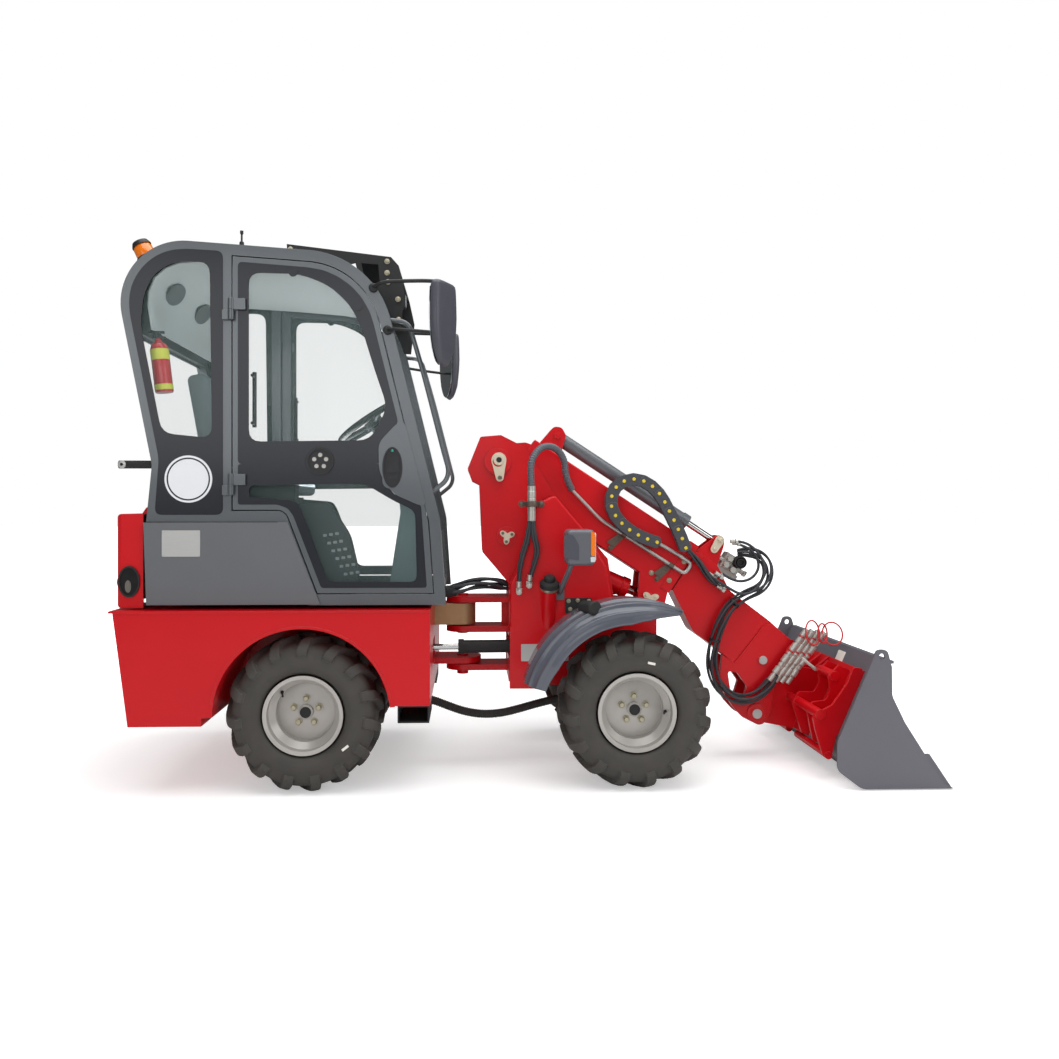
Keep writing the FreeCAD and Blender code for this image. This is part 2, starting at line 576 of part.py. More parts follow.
def build_cab_skin():
    """Roof with its rolled front and back, windscreen, rear window and the fixed quarter windows."""
    roof = fuse(ring_slice(SKIN_OUT, SKIN_IN, PANEL_Y, (CAB_BACK_X - 400, CAB_FOOT),
                           (REAR_GLASS[1] + 2, CAB_ROOF_Z + 200)) .cut(box((CAB_FOOT - 320,
                                                                            CAB_FOOT + 50), (-600, 600),
                                                                           (0, WINDSCREEN_TOP + 2))))
    screen = ring_slice(SKIN_OUT, SKIN_OUT + GLASS, PANEL_Y, (CAB_FOOT - 320, CAB_FOOT + 50),
                        (CAB_SILL_Z + CAB_TUBE + 4, WINDSCREEN_TOP))
    rear = ring_slice(SKIN_OUT, SKIN_OUT + GLASS, PANEL_Y, (CAB_BACK_X - 400, CAB_BACK_X + 200),
                      (REAR_GLASS[0], REAR_GLASS[1]))
    lower = ring_slice(SKIN_OUT, SKIN_IN - FIT, PANEL_Y, (CAB_BACK_X - 400, CAB_BACK_X + 20),
                       (CAB_DECK_Z + 4, REAR_GLASS[0] - FIT))
    slits = both_sides(box((CAB_BACK_X - 60, CAB_BACK_X + 40), (HOOD_LUG_Y - 16, HOOD_LUG_Y),
                           (HOOD_TOP_Z, HOOD_TOP_Z + 60)))
    lower = lower.cut(fuse(*slits))
    save("cab_panels", roof, lower)
    face = part_of(inset(CAB_TUBE + FIT), CAB_BACK_X - 500, PILLAR_X - FIT)
    pane = slab(face, CAB_Y - 12, CAB_Y - 12 + GLASS)
    save("cab_glass", screen, rear, *both_sides(pane))


def build_cab_floor():
    """The folded tub: floor plate, slanted riser and the deck over the engine behind the seat."""
    riser_top = COVER_FRONT_X - 70
    riser_foot = COVER_FRONT_X + COVER_SLANT - 88
    y = PANEL_Y
    folded = plate([(riser_foot, FLOOR_Z), (CAB_FOOT - 74, FLOOR_Z), (CAB_FOOT - 74, FLOOR_Z + TUB),
                    (riser_foot + TUB, FLOOR_Z + TUB), (riser_top + TUB, CAB_DECK_Z - 4),
                    (CAB_BACK_X + 8, CAB_DECK_Z - 4), (CAB_BACK_X + 8, CAB_DECK_Z - 4 - TUB),
                    (riser_top, CAB_DECK_Z - 4 - TUB)], -y, y)
    sill = box((riser_foot + 30, CAB_FOOT - 110), (-RAIL_Y, RAIL_Y), (DECK_Z + FIT, FLOOR_Z))
    posts = both_sides(box((CAB_BACK_X + 40, CAB_BACK_X + 90), (RAIL_Y - 34, RAIL_Y),
                           (DECK_Z + FIT, CAB_DECK_Z - 8)))
    save("cab_floor", fuse(folded, sill, *posts))


def build_seat():
    base = fuse(box((SEAT_X - 190, SEAT_X + 190), (-170, 170), (SEAT_Z - 30, SEAT_Z - FIT)),
                box((SEAT_X - 150, SEAT_X + 150), (-140, 140), (CAB_DECK_Z - 4 + FIT, SEAT_Z - 28)),
                box((SEAT_X - 234, SEAT_X - 186), (-60, 60), (SEAT_Z - 24, SEAT_Z + 190)))
    back = seat_back()
    base = base.cut(back)
    save("seat_base", base)
    cushion = box((SEAT_X - 180, SEAT_X + 250), (-235, 235), (SEAT_Z, SEAT_Z + 95))
    cushion = cushion.makeFillet(28, cushion.Edges)
    save("seat_cushions", cushion, back)


def seat_back():
    """The backrest cushion, leaning back."""
    back = box((-48, 48), (-228, 228), (0, 470))
    back = back.makeFillet(30, back.Edges)
    back.rotate(V(0, 0, 0), V(0, 1, 0), -11)
    back.translate(V(SEAT_X - 140, 0, SEAT_Z + 104))
    return back


def build_driving_controls():
    """Steering console with its column, and the wheel on top."""
    foot_x = CAB_FOOT - 96
    console = plate([(foot_x - 185, FLOOR_Z + TUB + FIT), (foot_x, FLOOR_Z + TUB + FIT),
                     (foot_x - 18, 1225, 40), (foot_x - 76, 1395, 20), (foot_x - 150, 1395, 20),
                     (foot_x - 128, 1180, 60)], -95, 95)
    centre, axis = V(foot_x - 268, 0, 1615), V(-138, 0, 208).normalize()
    column = rod(tuple(centre - axis * 280), tuple(centre - axis * (30 + FIT)), 30)
    ring = Part.makeTorus(WHEEL_RING_R, 15, centre, axis)
    hub = Part.makeCylinder(46, 34, centre - axis * 30, axis)
    spokes = []
    for a in (20, 160, 270):
        tip = V(WHEEL_RING_R * math.sin(math.radians(a)), WHEEL_RING_R * math.cos(math.radians(a)), 0)
        side = V(0, 1, 0)
        ahead = side.cross(axis)
        spokes.append(rod(tuple(centre - axis * 12), tuple(centre + ahead * tip.x + side * tip.y), 11))
    save("steering_wheel", fuse(ring, hub, *spokes))
    lever = fuse(box((SEAT_X - 20, SEAT_X + 250), (-330, -255), (CAB_DECK_Z - 4 + FIT, CAB_DECK_Z + 175)),
                 rod((SEAT_X + 205, -292, CAB_DECK_Z + 160), (SEAT_X + 225, -292, CAB_DECK_Z + 300), 14),
                 Part.makeSphere(26, V(SEAT_X + 227, -292, CAB_DECK_Z + 312)))
    save("consoles", fuse(console, column), lever)


def build_doors():
    """Two glazed doors, hinged at the B-pillars. Each is a tube frame with one pane set in it."""
    face = part_of(inset(CAB_TUBE + DOOR_GAP), PILLAR_X + PILLAR_WIDTH + DOOR_GAP, CAB_FOOT + 10)
    opening = face.makeOffset2D(-DOOR_FRAME)
    y0, y1 = CAB_Y - DOOR_THICK, CAB_Y
    frame = slab(face.cut(opening), y0, y1)
    straps = [box((HINGE_X, HINGE_X + 60), (CAB_Y - 2, HINGE_Y + 4), (z + 42, z + 88)) for z in HINGE_Z]
    knuckles = [upright(HINGE_X, HINGE_Y, HINGE_KNUCKLE_R, z + 42, z + 88) for z in HINGE_Z]
    frame = fuse(frame, *straps, *knuckles)
    frame = frame.cut(fuse(*[upright(HINGE_X, HINGE_Y, HINGE_PIN_R + FIT, z - 5, z + 100) for z in HINGE_Z]))
    lock = box((HANDLE_X - 42, HANDLE_X + 42), (CAB_Y - DOOR_THICK, CAB_Y + 4),
               (HANDLE_Z - 90, HANDLE_Z + 90))
    lock = lock.makeFillet(34, [e for e in lock.Edges if abs(e.BoundBox.YLength - DOOR_THICK - 4) < 1e-3])
    frame = fuse(frame, lock)
    pane = slab(opening.makeOffset2D(-FIT), CAB_Y - 18, CAB_Y - 18 + GLASS).cut(
        box((HANDLE_X - 43, HANDLE_X + 300), (0, 900), (HANDLE_Z - 91, HANDLE_Z + 91)))
    save("door_frame_left", frame)
    save("door_glass_left", pane)
    save("door_frame_right", mirrored(frame))
    save("door_glass_right", mirrored(pane))


def roof_at(x):
    """Height of the roof's straight part at X."""
    return CAB_ROOF_Z - ROOF_FALL * (x - ROOF_X)


def build_cab_fittings():
    """Lamp bracket over the screen, beacon, mirrors and the hand rails at the A-pillars."""
    x0, x1 = REAR_X - 104, REAR_X + 352
    cheek = plate([(x0, roof_at(x0) + 62), (x0 + 4, roof_at(x0) + 4), (x0 + 190, roof_at(x0) - 4),
                   (x1 - 120, 2190), (x1 - 62, 2150), (x1 - 8, 1998), (x1 + 42, 1996), (x1 + 60, 2150),
                   (x1 + 34, 2268), (x1, 2306)], LIGHT_Y - 5, LIGHT_Y)
    holes = [plate([(x0 + 265, 2268), (x0 + 300, 2278), (x0 + 322, 2190), (x0 + 300, 2196)], 0, 900),
               plate([(x0 + 325, 2278), (x0 + 400, 2272), (x0 + 408, 2180), (x0 + 345, 2190)], 0, 900)]
    cheek = cheek.cut(fuse(*holes))
    visor = plate([(x0 + 290, 2306), (x1, 2306), (x1 + 34, 2268), (x1 + 30, 2262), (x1 - 2, 2300),
                   (x0 + 290, 2300)], -LIGHT_Y, LIGHT_Y)
    bar = box((x1 - 24, x1 - 4), (-LIGHT_Y, LIGHT_Y), (2180, 2200))
    feet = [box((x0 + 6, x0 + 60), (LIGHT_Y - 20, LIGHT_Y), (roof_at(x0) - 26, roof_at(x0) + 8))]
    lamps = [box((x1 - 30, x1 + 26), (y - 45, y + 45), (2202, 2276)) for y in (-190, 190)]
    lamps = [lamp.makeFillet(10, lamp.Edges) for lamp in lamps]
    keep_off = slab(inset(SKIN_OUT - FIT), -LIGHT_Y - 5, LIGHT_Y + 5)
    bracket = fuse(*both_sides(cheek, *feet), visor, bar)
    bracket = bracket.cut(keep_off)
    save("light_bracket", bracket)
    save("work_lamps", *[lamp.cut(bracket) for lamp in lamps])

    foot = rod((X_TAIL + 118, BEACON_Y, 2238), (X_TAIL + 78, BEACON_Y, 2300), 14)
    base = rod((X_TAIL + 78, BEACON_Y, 2290), (X_TAIL + 70, BEACON_Y, 2306), 44)
    dome = rod((X_TAIL + 70, BEACON_Y, 2305), (X_TAIL + 46, BEACON_Y, 2378), 38)
    save("beacon", fuse(foot, base, dome).cut(slab(inset(SKIN_OUT - FIT), BEACON_Y - 60, BEACON_Y + 60)))

    top_x, low_x = pillar_x(2130) - 40, pillar_x(1952) - 24
    arm = bent_tube([(top_x, CAB_Y + 6, 2130), (top_x + 30, CAB_Y + 44, 2146),
                     (CAB_FOOT - 60, MIRROR_Y, 2146), (CAB_FOOT - 14, MIRROR_Y, 2090)], 8)
    low_arm = bent_tube([(low_x, CAB_Y + 6, 1952), (low_x + 20, CAB_Y + 38, 1952),
                         (CAB_FOOT - 26, MIRROR_Y, 1930)], 7)
    head = box((-26, 26), (-88, 88), (-176, 176))
    head = head.makeFillet(22, head.Edges)
    head.rotate(V(0, 0, 0), V(0, 0, 1), 28)
    head.translate(V(CAB_FOOT - 8, MIRROR_Y, 1962))
    pads = [across(x, z, 19, CAB_Y + FIT, CAB_Y + 14) for x, z in ((top_x, 2130), (low_x, 1952))]
    save("mirrors", *both_sides(fuse(arm, low_arm, head, *pads)))

    rail_y = CAB_Y - 22
    rail = bent_tube([(CAB_FOOT - 242, rail_y, 2000), (CAB_FOOT - 160, rail_y, 1992),
                      (CAB_FOOT - 100, rail_y, 1790), (CAB_FOOT + 18, rail_y, 1330),
                      (CAB_FOOT - 60, rail_y, 1268)], 10)
    rail = rail.cut(slab(CAB_FACE, 0, CAB_Y + 10))
    save("grab_rails",
         *both_sides(rail.Solids[0] if len(rail.Solids) == 1 else Part.makeCompound(rail.Solids)))


def pillar_x(z):
    """Where the front edge of the A-pillar stands at that height."""
    return A_KNEE[0] - A_PILLAR_LEAN * (z - A_KNEE[1])


# ---------------------------------------------------------------- front frame
FRAME_BACK_X = FRONT_X - 529
TOWER_BACK_Z = 794.0          # the hoses from the cab pass above it
TANK_Y = TOWER_OUT + TANK_WIDTH
EAR_HALF = 78.0
LIFT_BASE = (BOOM_X + 41, BOOM_PIVOT_Z - 349)
LIFT_EYE = (962.0, -146.0)    # along and above the boom's axis
TANK_FLOOR_Z = 626.0          # clears the steering cylinder's swing
FILLER_X = FRONT_X - 352
FENDER_R = 471.0              # crown of the front mudguard, from its own centre
FENDER_BACK, FENDER_LIFT = 14.0, 4.0  # that centre lies behind and above the axle
FENDER_SHOULDER = 92.0        # radius of the guard's outer shoulder
FENDER_START, FENDER_END = 62.0, 166.0
FENDER_WIDTH = 236.0
FENDER_THICK = 8.0
FENDER_Y = WHEEL_Y + TYRE_WIDTH / 2 + 2
FENDER_RIBS = (18.0, 46.0, 74.0)
FENDER_RIB_R = 7.0
LAMP_Y = 372.0


def build_front_frame():
    """The tower: two plates with the boom between them, the box over the axle and the hitch ears."""
    bx, bz = BOOM_X, BOOM_PIVOT_Z
    cheek = plate([(bx - 142, bz - 32), (bx - 82, bz + 117, 12), (bx + 14, bz + 125, 12),
                   (bx + 127, bz + 68), (FRONT_X - 322, 1274), (FRONT_X - 60, 960), (FRONT_X - 30, 760),
                   (FRONT_X + 172, 735), (FRONT_X + 172, 470), (FRONT_X + 60, AXLE_Z + 20),
                   (FRONT_X - 120, AXLE_Z + 20), (FRAME_BACK_X, 385), (FRAME_BACK_X, 846),
                   (bx - 73, 992), (bx - 86, 1310), (bx - 120, bz - 90)], TOWER_IN, TOWER_OUT)
    boss = across(bx, bz, 62, TOWER_OUT - 1, TOWER_OUT + 14)
    lift_boss = across(LIFT_BASE[0], LIFT_BASE[1], 44, TOWER_OUT - 1, TOWER_OUT + 8)
    right = mirrored(cheek).cut(box((FRAME_BACK_X - 10, STEER_BASE[0] + 56), (-TOWER_OUT - 5, 0),
                                    (STEER_Z - 48, STEER_Z + 48)))
    shelf = [box((STEER_BASE[0] - 34, STEER_BASE[0] + 50), (STEER_BASE[1] - 44, -TOWER_IN + 2), (z, z + 10))
             for z in (STEER_Z - 58, STEER_Z + 48)]
    steer_pin = upright(*STEER_BASE, STEER_PIN_R, STEER_Z - 64, STEER_Z + 64)
    cheeks = [cheek, right, *shelf, steer_pin, *both_sides(boss, lift_boss)]
    wide = TOWER_IN + 2
    back = box((FRAME_BACK_X, FRAME_BACK_X + 16), (-wide, wide), (392, TOWER_BACK_Z))
    back = back.cut(box((FRAME_BACK_X - 20, FRAME_BACK_X + 40), (-wide, wide), (STEER_Z - 46, STEER_Z + 46)))
    deck = box((FRAME_BACK_X, FRONT_X + 36), (-wide, wide), (720, 736))
    floor = box((FRAME_BACK_X, FRONT_X - 120), (-wide, wide), (392, 408))
    nose = box((FRONT_X + 20, FRONT_X + 36), (-wide, wide), (AXLE_Z + 114, 735))
    saddle = box((FRONT_X - 110, FRONT_X + 110), (-wide, wide), (AXLE_Z + 112, AXLE_Z + 128))
    ears = []
    for z in (UPPER_EAR_Z[0], UPPER_EAR_Z[1]):
        ears.append(hitch_ear(z))
    ears.append(hitch_ear(LOWER_EAR_Z))
    pins = [upright(HITCH_X, 0, HITCH_PIN_R, UPPER_EAR_Z[0] - 12, UPPER_EAR_Z[1] + EAR_THICK + 8),
            upright(HITCH_X, 0, HITCH_PIN_R, LOWER_EAR_Z - 26, LOWER_EAR_Z + 2 * EAR_THICK + GREASE_GAP + 6)]
    gusset = box((FRAME_BACK_X - 30, FRAME_BACK_X + 4), (-14, 14),
                 (UPPER_EAR_Z[0] + EAR_THICK - 2, UPPER_EAR_Z[1] + 2))
    boom_pin = across(bx, bz, PIN_RADIUS, -TOWER_OUT - 20, TOWER_OUT + 20)
    lift_pin = across(LIFT_BASE[0], LIFT_BASE[1], PIN_RADIUS, -TOWER_OUT - 14, TOWER_OUT + 14)
    frame = fuse(*cheeks, back, deck, floor, nose, saddle, *ears, *pins, gusset, boom_pin, lift_pin)
    frame = frame.cut(across(FRONT_X, AXLE_Z, HUB_RADIUS + FIT, -TOWER_OUT - 5, TOWER_OUT + 5))
    save("front_frame", frame)


def hitch_ear(z):
    """A hitch plate with a rounded end, reaching back from the front frame."""
    reach = fuse(box((HITCH_X, FRAME_BACK_X + 6), (-EAR_HALF, EAR_HALF), (z, z + EAR_THICK)),
                 upright(HITCH_X, 0, EAR_HALF, z, z + EAR_THICK))
    return reach


def build_side_tanks():
    """Oil tank on the right and battery box on the left of the tower, each with the skirt below it."""
    corners = [(FRAME_BACK_X + 2, TANK_FLOOR_Z), (FRAME_BACK_X + 2, 850), (FRAME_BACK_X + 80, 1010, 40),
               (FRAME_BACK_X + 118, 1215, 20), (FRONT_X - 322, 1258, 20), (FRONT_X - 170, 1080),
               (FRONT_X - 84, 930), (FRONT_X - 52, 742), (FRONT_X - 130, TANK_FLOOR_Z)]
    tank = plate(corners, TOWER_OUT + 16, TANK_Y)
    tank = tank.makeFillet(10, [e for e in tank.Edges if abs(e.BoundBox.YMin - TANK_Y) < 1e-3])
    mounts = [across(x, z, 22, TOWER_OUT + FIT, TOWER_OUT + 18) for x, z in
              ((FRAME_BACK_X + 60, 700), (FRAME_BACK_X + 170, 1100), (FRONT_X - 180, 900))]
    skirt = plate([(FRAME_BACK_X + 2, TANK_FLOOR_Z + 30), (FRAME_BACK_X, 375),
                   (FRAME_BACK_X + 136, 374), (FRONT_X - 119, 600), (FRONT_X + 150, 724),
                   (FRONT_X + 150, 744), (FRONT_X - 60, 760)], TANK_Y - 10, TANK_Y)
    box_side = fuse(tank, skirt, *mounts)
    foot, mouth = (FILLER_X, -TANK_Y + 34, 646), (FILLER_X, -TANK_Y - 46, 842)
    neck = rod(foot, mouth, 34)
    save("side_tanks", fuse(mirrored(box_side), neck), box_side)
    up = (V(*mouth) - V(*foot)).normalize()
    lid = Part.makeCylinder(42, 30, V(*mouth) + up * FIT, up)
    grip = Part.makeCylinder(24, 22, V(*mouth) + up * 29, up)
    save("filler_cap", fuse(lid, grip))


def swept(face):
    """A face drawn with X as the radius and Y across, swept round the front wheel's guard."""
    swing = face.copy()
    swing.rotate(V(0, 0, 0), V(0, 1, 0), -FENDER_END)
    ring = swing.revolve(V(0, 0, 0), V(0, 1, 0), FENDER_END - FENDER_START)
    ring.translate(V(FRONT_X - FENDER_BACK, 0, AXLE_Z + FENDER_LIFT))
    return ring


def shoulder_point(radius, degrees):
    """(radius, Y) on the guard's rounded outer shoulder; 90 degrees is its crown."""
    a = math.radians(degrees)
    return (FENDER_R - FENDER_SHOULDER + radius * math.sin(a),
            FENDER_Y - FENDER_SHOULDER + radius * math.cos(a))


def shoulder_arc(radius):
    """A quarter round from the outer edge up to the crown."""
    return Part.Arc(*[V(*shoulder_point(radius, a), 0) for a in (0, 45, 90)]).toShape()


def build_front_fenders():
    """Moulded mudguards over the front wheels, ribbed along the shoulder, on brackets from the tower."""
    outer, inner = FENDER_SHOULDER, FENDER_SHOULDER - FENDER_THICK
    (r1, y1), (r0, y0) = shoulder_point(outer, 90), shoulder_point(inner, 90)
    (e1, f1), (e0, f0) = shoulder_point(outer, 0), shoulder_point(inner, 0)
    back = FENDER_Y - FENDER_WIDTH
    edges = [shoulder_arc(outer), Part.makeLine(V(r1, y1, 0), V(r1, back, 0)),
             Part.makeLine(V(r1, back, 0), V(r0, back, 0)), Part.makeLine(V(r0, back, 0), V(r0, y0, 0)),
             shoulder_arc(inner), Part.makeLine(V(e0, f0, 0), V(e1, f1, 0))]
    guard = swept(Part.Face(Part.Wire(Part.__sortEdges__(edges))))
    ribs = []
    for degrees in FENDER_RIBS:
        centre = V(*shoulder_point(outer - 2, degrees), 0)
        ribs.append(swept(Part.Face(Part.Wire(Part.makeCircle(FENDER_RIB_R, centre)))))
    under = AXLE_Z + FENDER_LIFT + FENDER_R - FENDER_THICK
    x = FRONT_X - 100
    arm = box((x - 30, x + 30), (TANK_Y + FIT, y0 - 20), (under - 34, under - 22))
    foot = box((x - 40, x + 20), (TANK_Y + FIT, TANK_Y + 10), (under - 34, under + 30))
    post = upright(x, y0 - 50, 16, under - 30, under)
    save("front_fenders", *both_sides(fuse(guard, *ribs, arm, foot, post)))


def build_headlamps():
    """Lamp housings on stalks at the tower's sides, each with its bracket arm."""
    y = LAMP_Y
    shell = box((FRONT_X - 292, FRONT_X - 168), (y - 70, y + 70), (950, 1106))
    shell = shell.makeFillet(20, shell.Edges)
    arm = bent_tube([(FRONT_X - 300, TANK_Y - 6, 812), (FRONT_X - 300, TANK_Y + 44, 830),
                     (FRONT_X - 268, y - 20, 930), (FRONT_X - 258, y - 10, 980)], 12)
    pad = box((FRONT_X - 320, FRONT_X - 280), (TANK_Y + FIT, TANK_Y + 10), (780, 850))
    arm = arm.cut(box((FRONT_X - 400, FRONT_X - 200), (0, TANK_Y + FIT), (700, 900)))
    save("headlamps", *both_sides(fuse(shell, arm, pad)))


def build_front_axle():
    save("front_axle", axle(FRONT_X))


# ---------------------------------------------------------------- boom
EXTEND_N = 262.0              # telescope cylinder, above the boom's axis
EXTEND_EYES = (170.0, 1098.0)
EXTEND_BARREL_R = 33.0
EXTEND_ROD_R = 16.0
EXTEND_PIN_R = 14.0
BARREL_WALL = 8.0
NECK_HALF = 75.0
HEAD_IN, HEAD_OUT = 60.0, 84.0
TOOL_PIN_HALF = 96.0
NECK_END = (1636.0, 58.0)
TILT_BASE = (1080.0, 14.0)    # along and above the boom's axis
TILT_PIN_R = 18.0
TILT_EYE_R = 16.0
TILT_LEVER = 215.0
TILT_LEVER_ANGLE = 66.0       # above the horizontal, parked
BLOCK_HALF = 34.0
BLOCK_TOP = 250.3
COUPLERS = 4
COUPLER_STEP = (21.0, 9.0)
COUPLER_Y = -126.0
COUPLER_ARM = (1788.0, 2.0)
COUPLER_LOW = (1652.0, -118.0)
COUPLER_HIGH = (1668.0, 122.0)


def build_outer_boom():
    """The square outer tube with its pivot cheeks, cylinder ears on top and lift ears below."""
    half = BOOM_WIDTH / 2
    tube = box((90, BOOM_LENGTH), (-half, half), (BOOM_BOTTOM, BOOM_TOP))
    tube = tube.makeFillet(8, [e for e in tube.Edges if abs(e.BoundBox.XLength - BOOM_LENGTH + 90) < 1e-3])
    tube = tube.cut(box((60, BOOM_LENGTH + 10), (-half + BOOM_WALL, half - BOOM_WALL),
                        (BOOM_BOTTOM + BOOM_WALL, BOOM_TOP - BOOM_WALL)))
    cheek = plate([(-66, -20, 40), (-50, 66, 50), (60, 150, 30), (160, BOOM_TOP - 12),
                   (160, BOOM_BOTTOM + 12), (20, -70, 50)], half - BOOM_WALL, half - 0.5)
    hub = across(0, 0, 46, -half - TOWER_GAP + GREASE_GAP, half + TOWER_GAP - GREASE_GAP)
    ear = plate([(118, BOOM_TOP - 4), (132, EXTEND_N + 30, 26), (166, EXTEND_N + 46, 26),
                 (204, EXTEND_N + 26, 26), (236, BOOM_TOP - 4)], 34, 48)
    pin = across(EXTEND_EYES[0], EXTEND_N, 14, -60, 60)
    lift_ear = plate([(852, BOOM_BOTTOM + 6), (1012, BOOM_BOTTOM + 6), (1040, -140, 24),
                      (978, -212, 24), (906, -168, 30)], half - 24, half)
    lift_stub = across(*LIFT_EYE, PIN_RADIUS, half - 26, half + 4)
    collar = box((BOOM_LENGTH - 46, BOOM_LENGTH), (-half - 4, half + 4), (BOOM_BOTTOM - 4, BOOM_TOP + 4))
    collar = collar.cut(box((0, 1200), (-half + 1, half - 1), (BOOM_BOTTOM + 1, BOOM_TOP - 1)))
    parts = both_sides(cheek, ear, lift_ear, lift_stub)
    boom = fuse(tube, hub, pin, collar, *parts).cut(across(0, 0, PIN_RADIUS + PIN_FIT, -200, 200))
    save("outer_boom", boom_frame(boom))

    barrel = hollow_cylinder((EXTEND_EYES[0] + 30, 0, EXTEND_N), (BOOM_LENGTH - 92, 0, EXTEND_N),
                             EXTEND_BARREL_R, EXTEND_ROD_R)
    bore = across(EXTEND_EYES[0], EXTEND_N, EXTEND_PIN_R + PIN_FIT, -70, 70)
    eye = across(EXTEND_EYES[0], EXTEND_N, 27, -30, 30).cut(bore)
    link = box((EXTEND_EYES[0] + 20, EXTEND_EYES[0] + 34), (-20, 20), (EXTEND_N - 20, EXTEND_N + 20))
    save("extend_barrel", boom_frame(fuse(barrel, eye, link)))


def hollow_cylinder(start, end, radius, rod_radius):
    """A cylinder barrel: closed at its start, with a gland at its end."""
    long = (V(*end) - V(*start)).Length
    body = rod(start, end, radius)
    gland = rod(toward(start, end, long - 34), end, radius + 4)
    bore = rod(toward(start, end, 16), toward(start, end, long - 30), radius - BARREL_WALL)
    mouth = rod(toward(start, end, long - 40), toward(start, end, long + 5), rod_radius + FIT)
    return fuse(body, gland).cut(fuse(bore, mouth))


def piston_rod(start, end, radius, piston_radius):
    """A chrome rod with its piston at the start."""
    return fuse(rod(start, end, radius), rod(start, toward(start, end, 30), piston_radius - FIT))


def build_inner_boom():
    """The telescoping tube with its cranked neck and the forked head that carries the tool."""
    half = BOOM_WIDTH / 2 - BOOM_WALL - INNER_GAP
    low, high = BOOM_BOTTOM + BOOM_WALL + INNER_GAP, BOOM_TOP - BOOM_WALL - INNER_GAP
    start, shoulder = BOOM_LENGTH - EXTEND_STROKE - 272, BOOM_LENGTH + NECK_GAP
    tube = box((start, shoulder + 30), (-half, half), (low, high))
    tube = tube.cut(box((start - 5, shoulder + 40), (-half + 8, half - 8), (low + 8, high - 8)))
    neck = plate([(shoulder, high), (1150, high - 8, 40), (1264, 94, 60), (1500, 78), NECK_END,
                  (1570, -205), (1471, -183), (1322, -170, 40), (1225, -166, 60), (shoulder, low)],
                 -NECK_HALF, NECK_HALF)
    hollow = plate([(shoulder - 5, high - 8), (1150, high - 16, 40), (1260, 84, 60), (1500, 68),
                    (1700, 50), (1700, -260), (1440, -260), (1425, -168), (1322, -160, 40),
                    (1225, -156, 60), (shoulder - 5, low + 8)], -NECK_HALF + 10, NECK_HALF - 10)
    neck = neck.cut(hollow)
    collar = box((shoulder, shoulder + 12), (-NECK_HALF, NECK_HALF), (low, high))
    collar = collar.cut(box((0, 2000), (-half + 8, half - 8), (low + 8, high - 8)))
    head = plate([(1490, 40), (1516, 74), NECK_END, (1652, -30, 60), (1700, -190, 60), (1746, -286, 40),
                  (1748, -366, 34), (1642, -378, 40), (1580, -362, 60), (1512, -334, 60),
                  (1448, -282, 60), (1400, -182), (1470, -182)], HEAD_IN, HEAD_OUT)
    eye = plate([(1462, -232, 12), (1506, -214, 20), (1582, -244, 20), (1600, -304, 14),
                 (1576, -322, 14), (1522, -300, 20)], 0, 200)
    head = head.cut(eye)
    knob = across(HITCH_D, HITCH_N, 44, HEAD_OUT - 1, HEAD_OUT + 8)
    upper_knob = across(1575, -97, 24, HEAD_OUT - 1, HEAD_OUT + 6)
    base_pin = across(*TILT_BASE, TILT_PIN_R, -NECK_HALF + 5, NECK_HALF - 5)
    tool_pin = across(HITCH_D, HITCH_N, PIN_RADIUS, -TOOL_PIN_HALF, TOOL_PIN_HALF)
    ear = plate([(1034, high - 4), (1062, EXTEND_N - 20, 30), (1080, EXTEND_N + 34, 26),
                 (1118, EXTEND_N + 34, 26), (1136, EXTEND_N - 6, 26), (1160, high - 10)], 26, 38)
    ear_pin = across(EXTEND_EYES[1], EXTEND_N, 14, -50, 50)
    spacer = box((1470, 1500), (-HEAD_IN - 2, HEAD_IN + 2), (60, 76))
    chain_arm = fuse(box((1040, 1062), (-half - 30, -NECK_HALF + 1), (122, 150)),
                     box((950, 1062), (-BOOM_WIDTH / 2 - 16.5, -BOOM_WIDTH / 2 - 9.5), (122, 160)))
    inner = fuse(tube, neck, collar, spacer, chain_arm, *both_sides(head, knob, upper_knob, ear),
                 base_pin, ear_pin, tool_pin)
    save("inner_boom", boom_frame(inner))

    shaft = piston_rod((340, 0, EXTEND_N), (EXTEND_EYES[1] - 16, 0, EXTEND_N), EXTEND_ROD_R,
                       EXTEND_BARREL_R - BARREL_WALL)
    bore = across(EXTEND_EYES[1], EXTEND_N, EXTEND_PIN_R + PIN_FIT, -70, 70)
    eye = across(EXTEND_EYES[1], EXTEND_N, 25, -22, 22).cut(bore)
    save("extend_rod", boom_frame(fuse(shaft.cut(across(EXTEND_EYES[1], EXTEND_N, 20, -60, 60)), eye)))


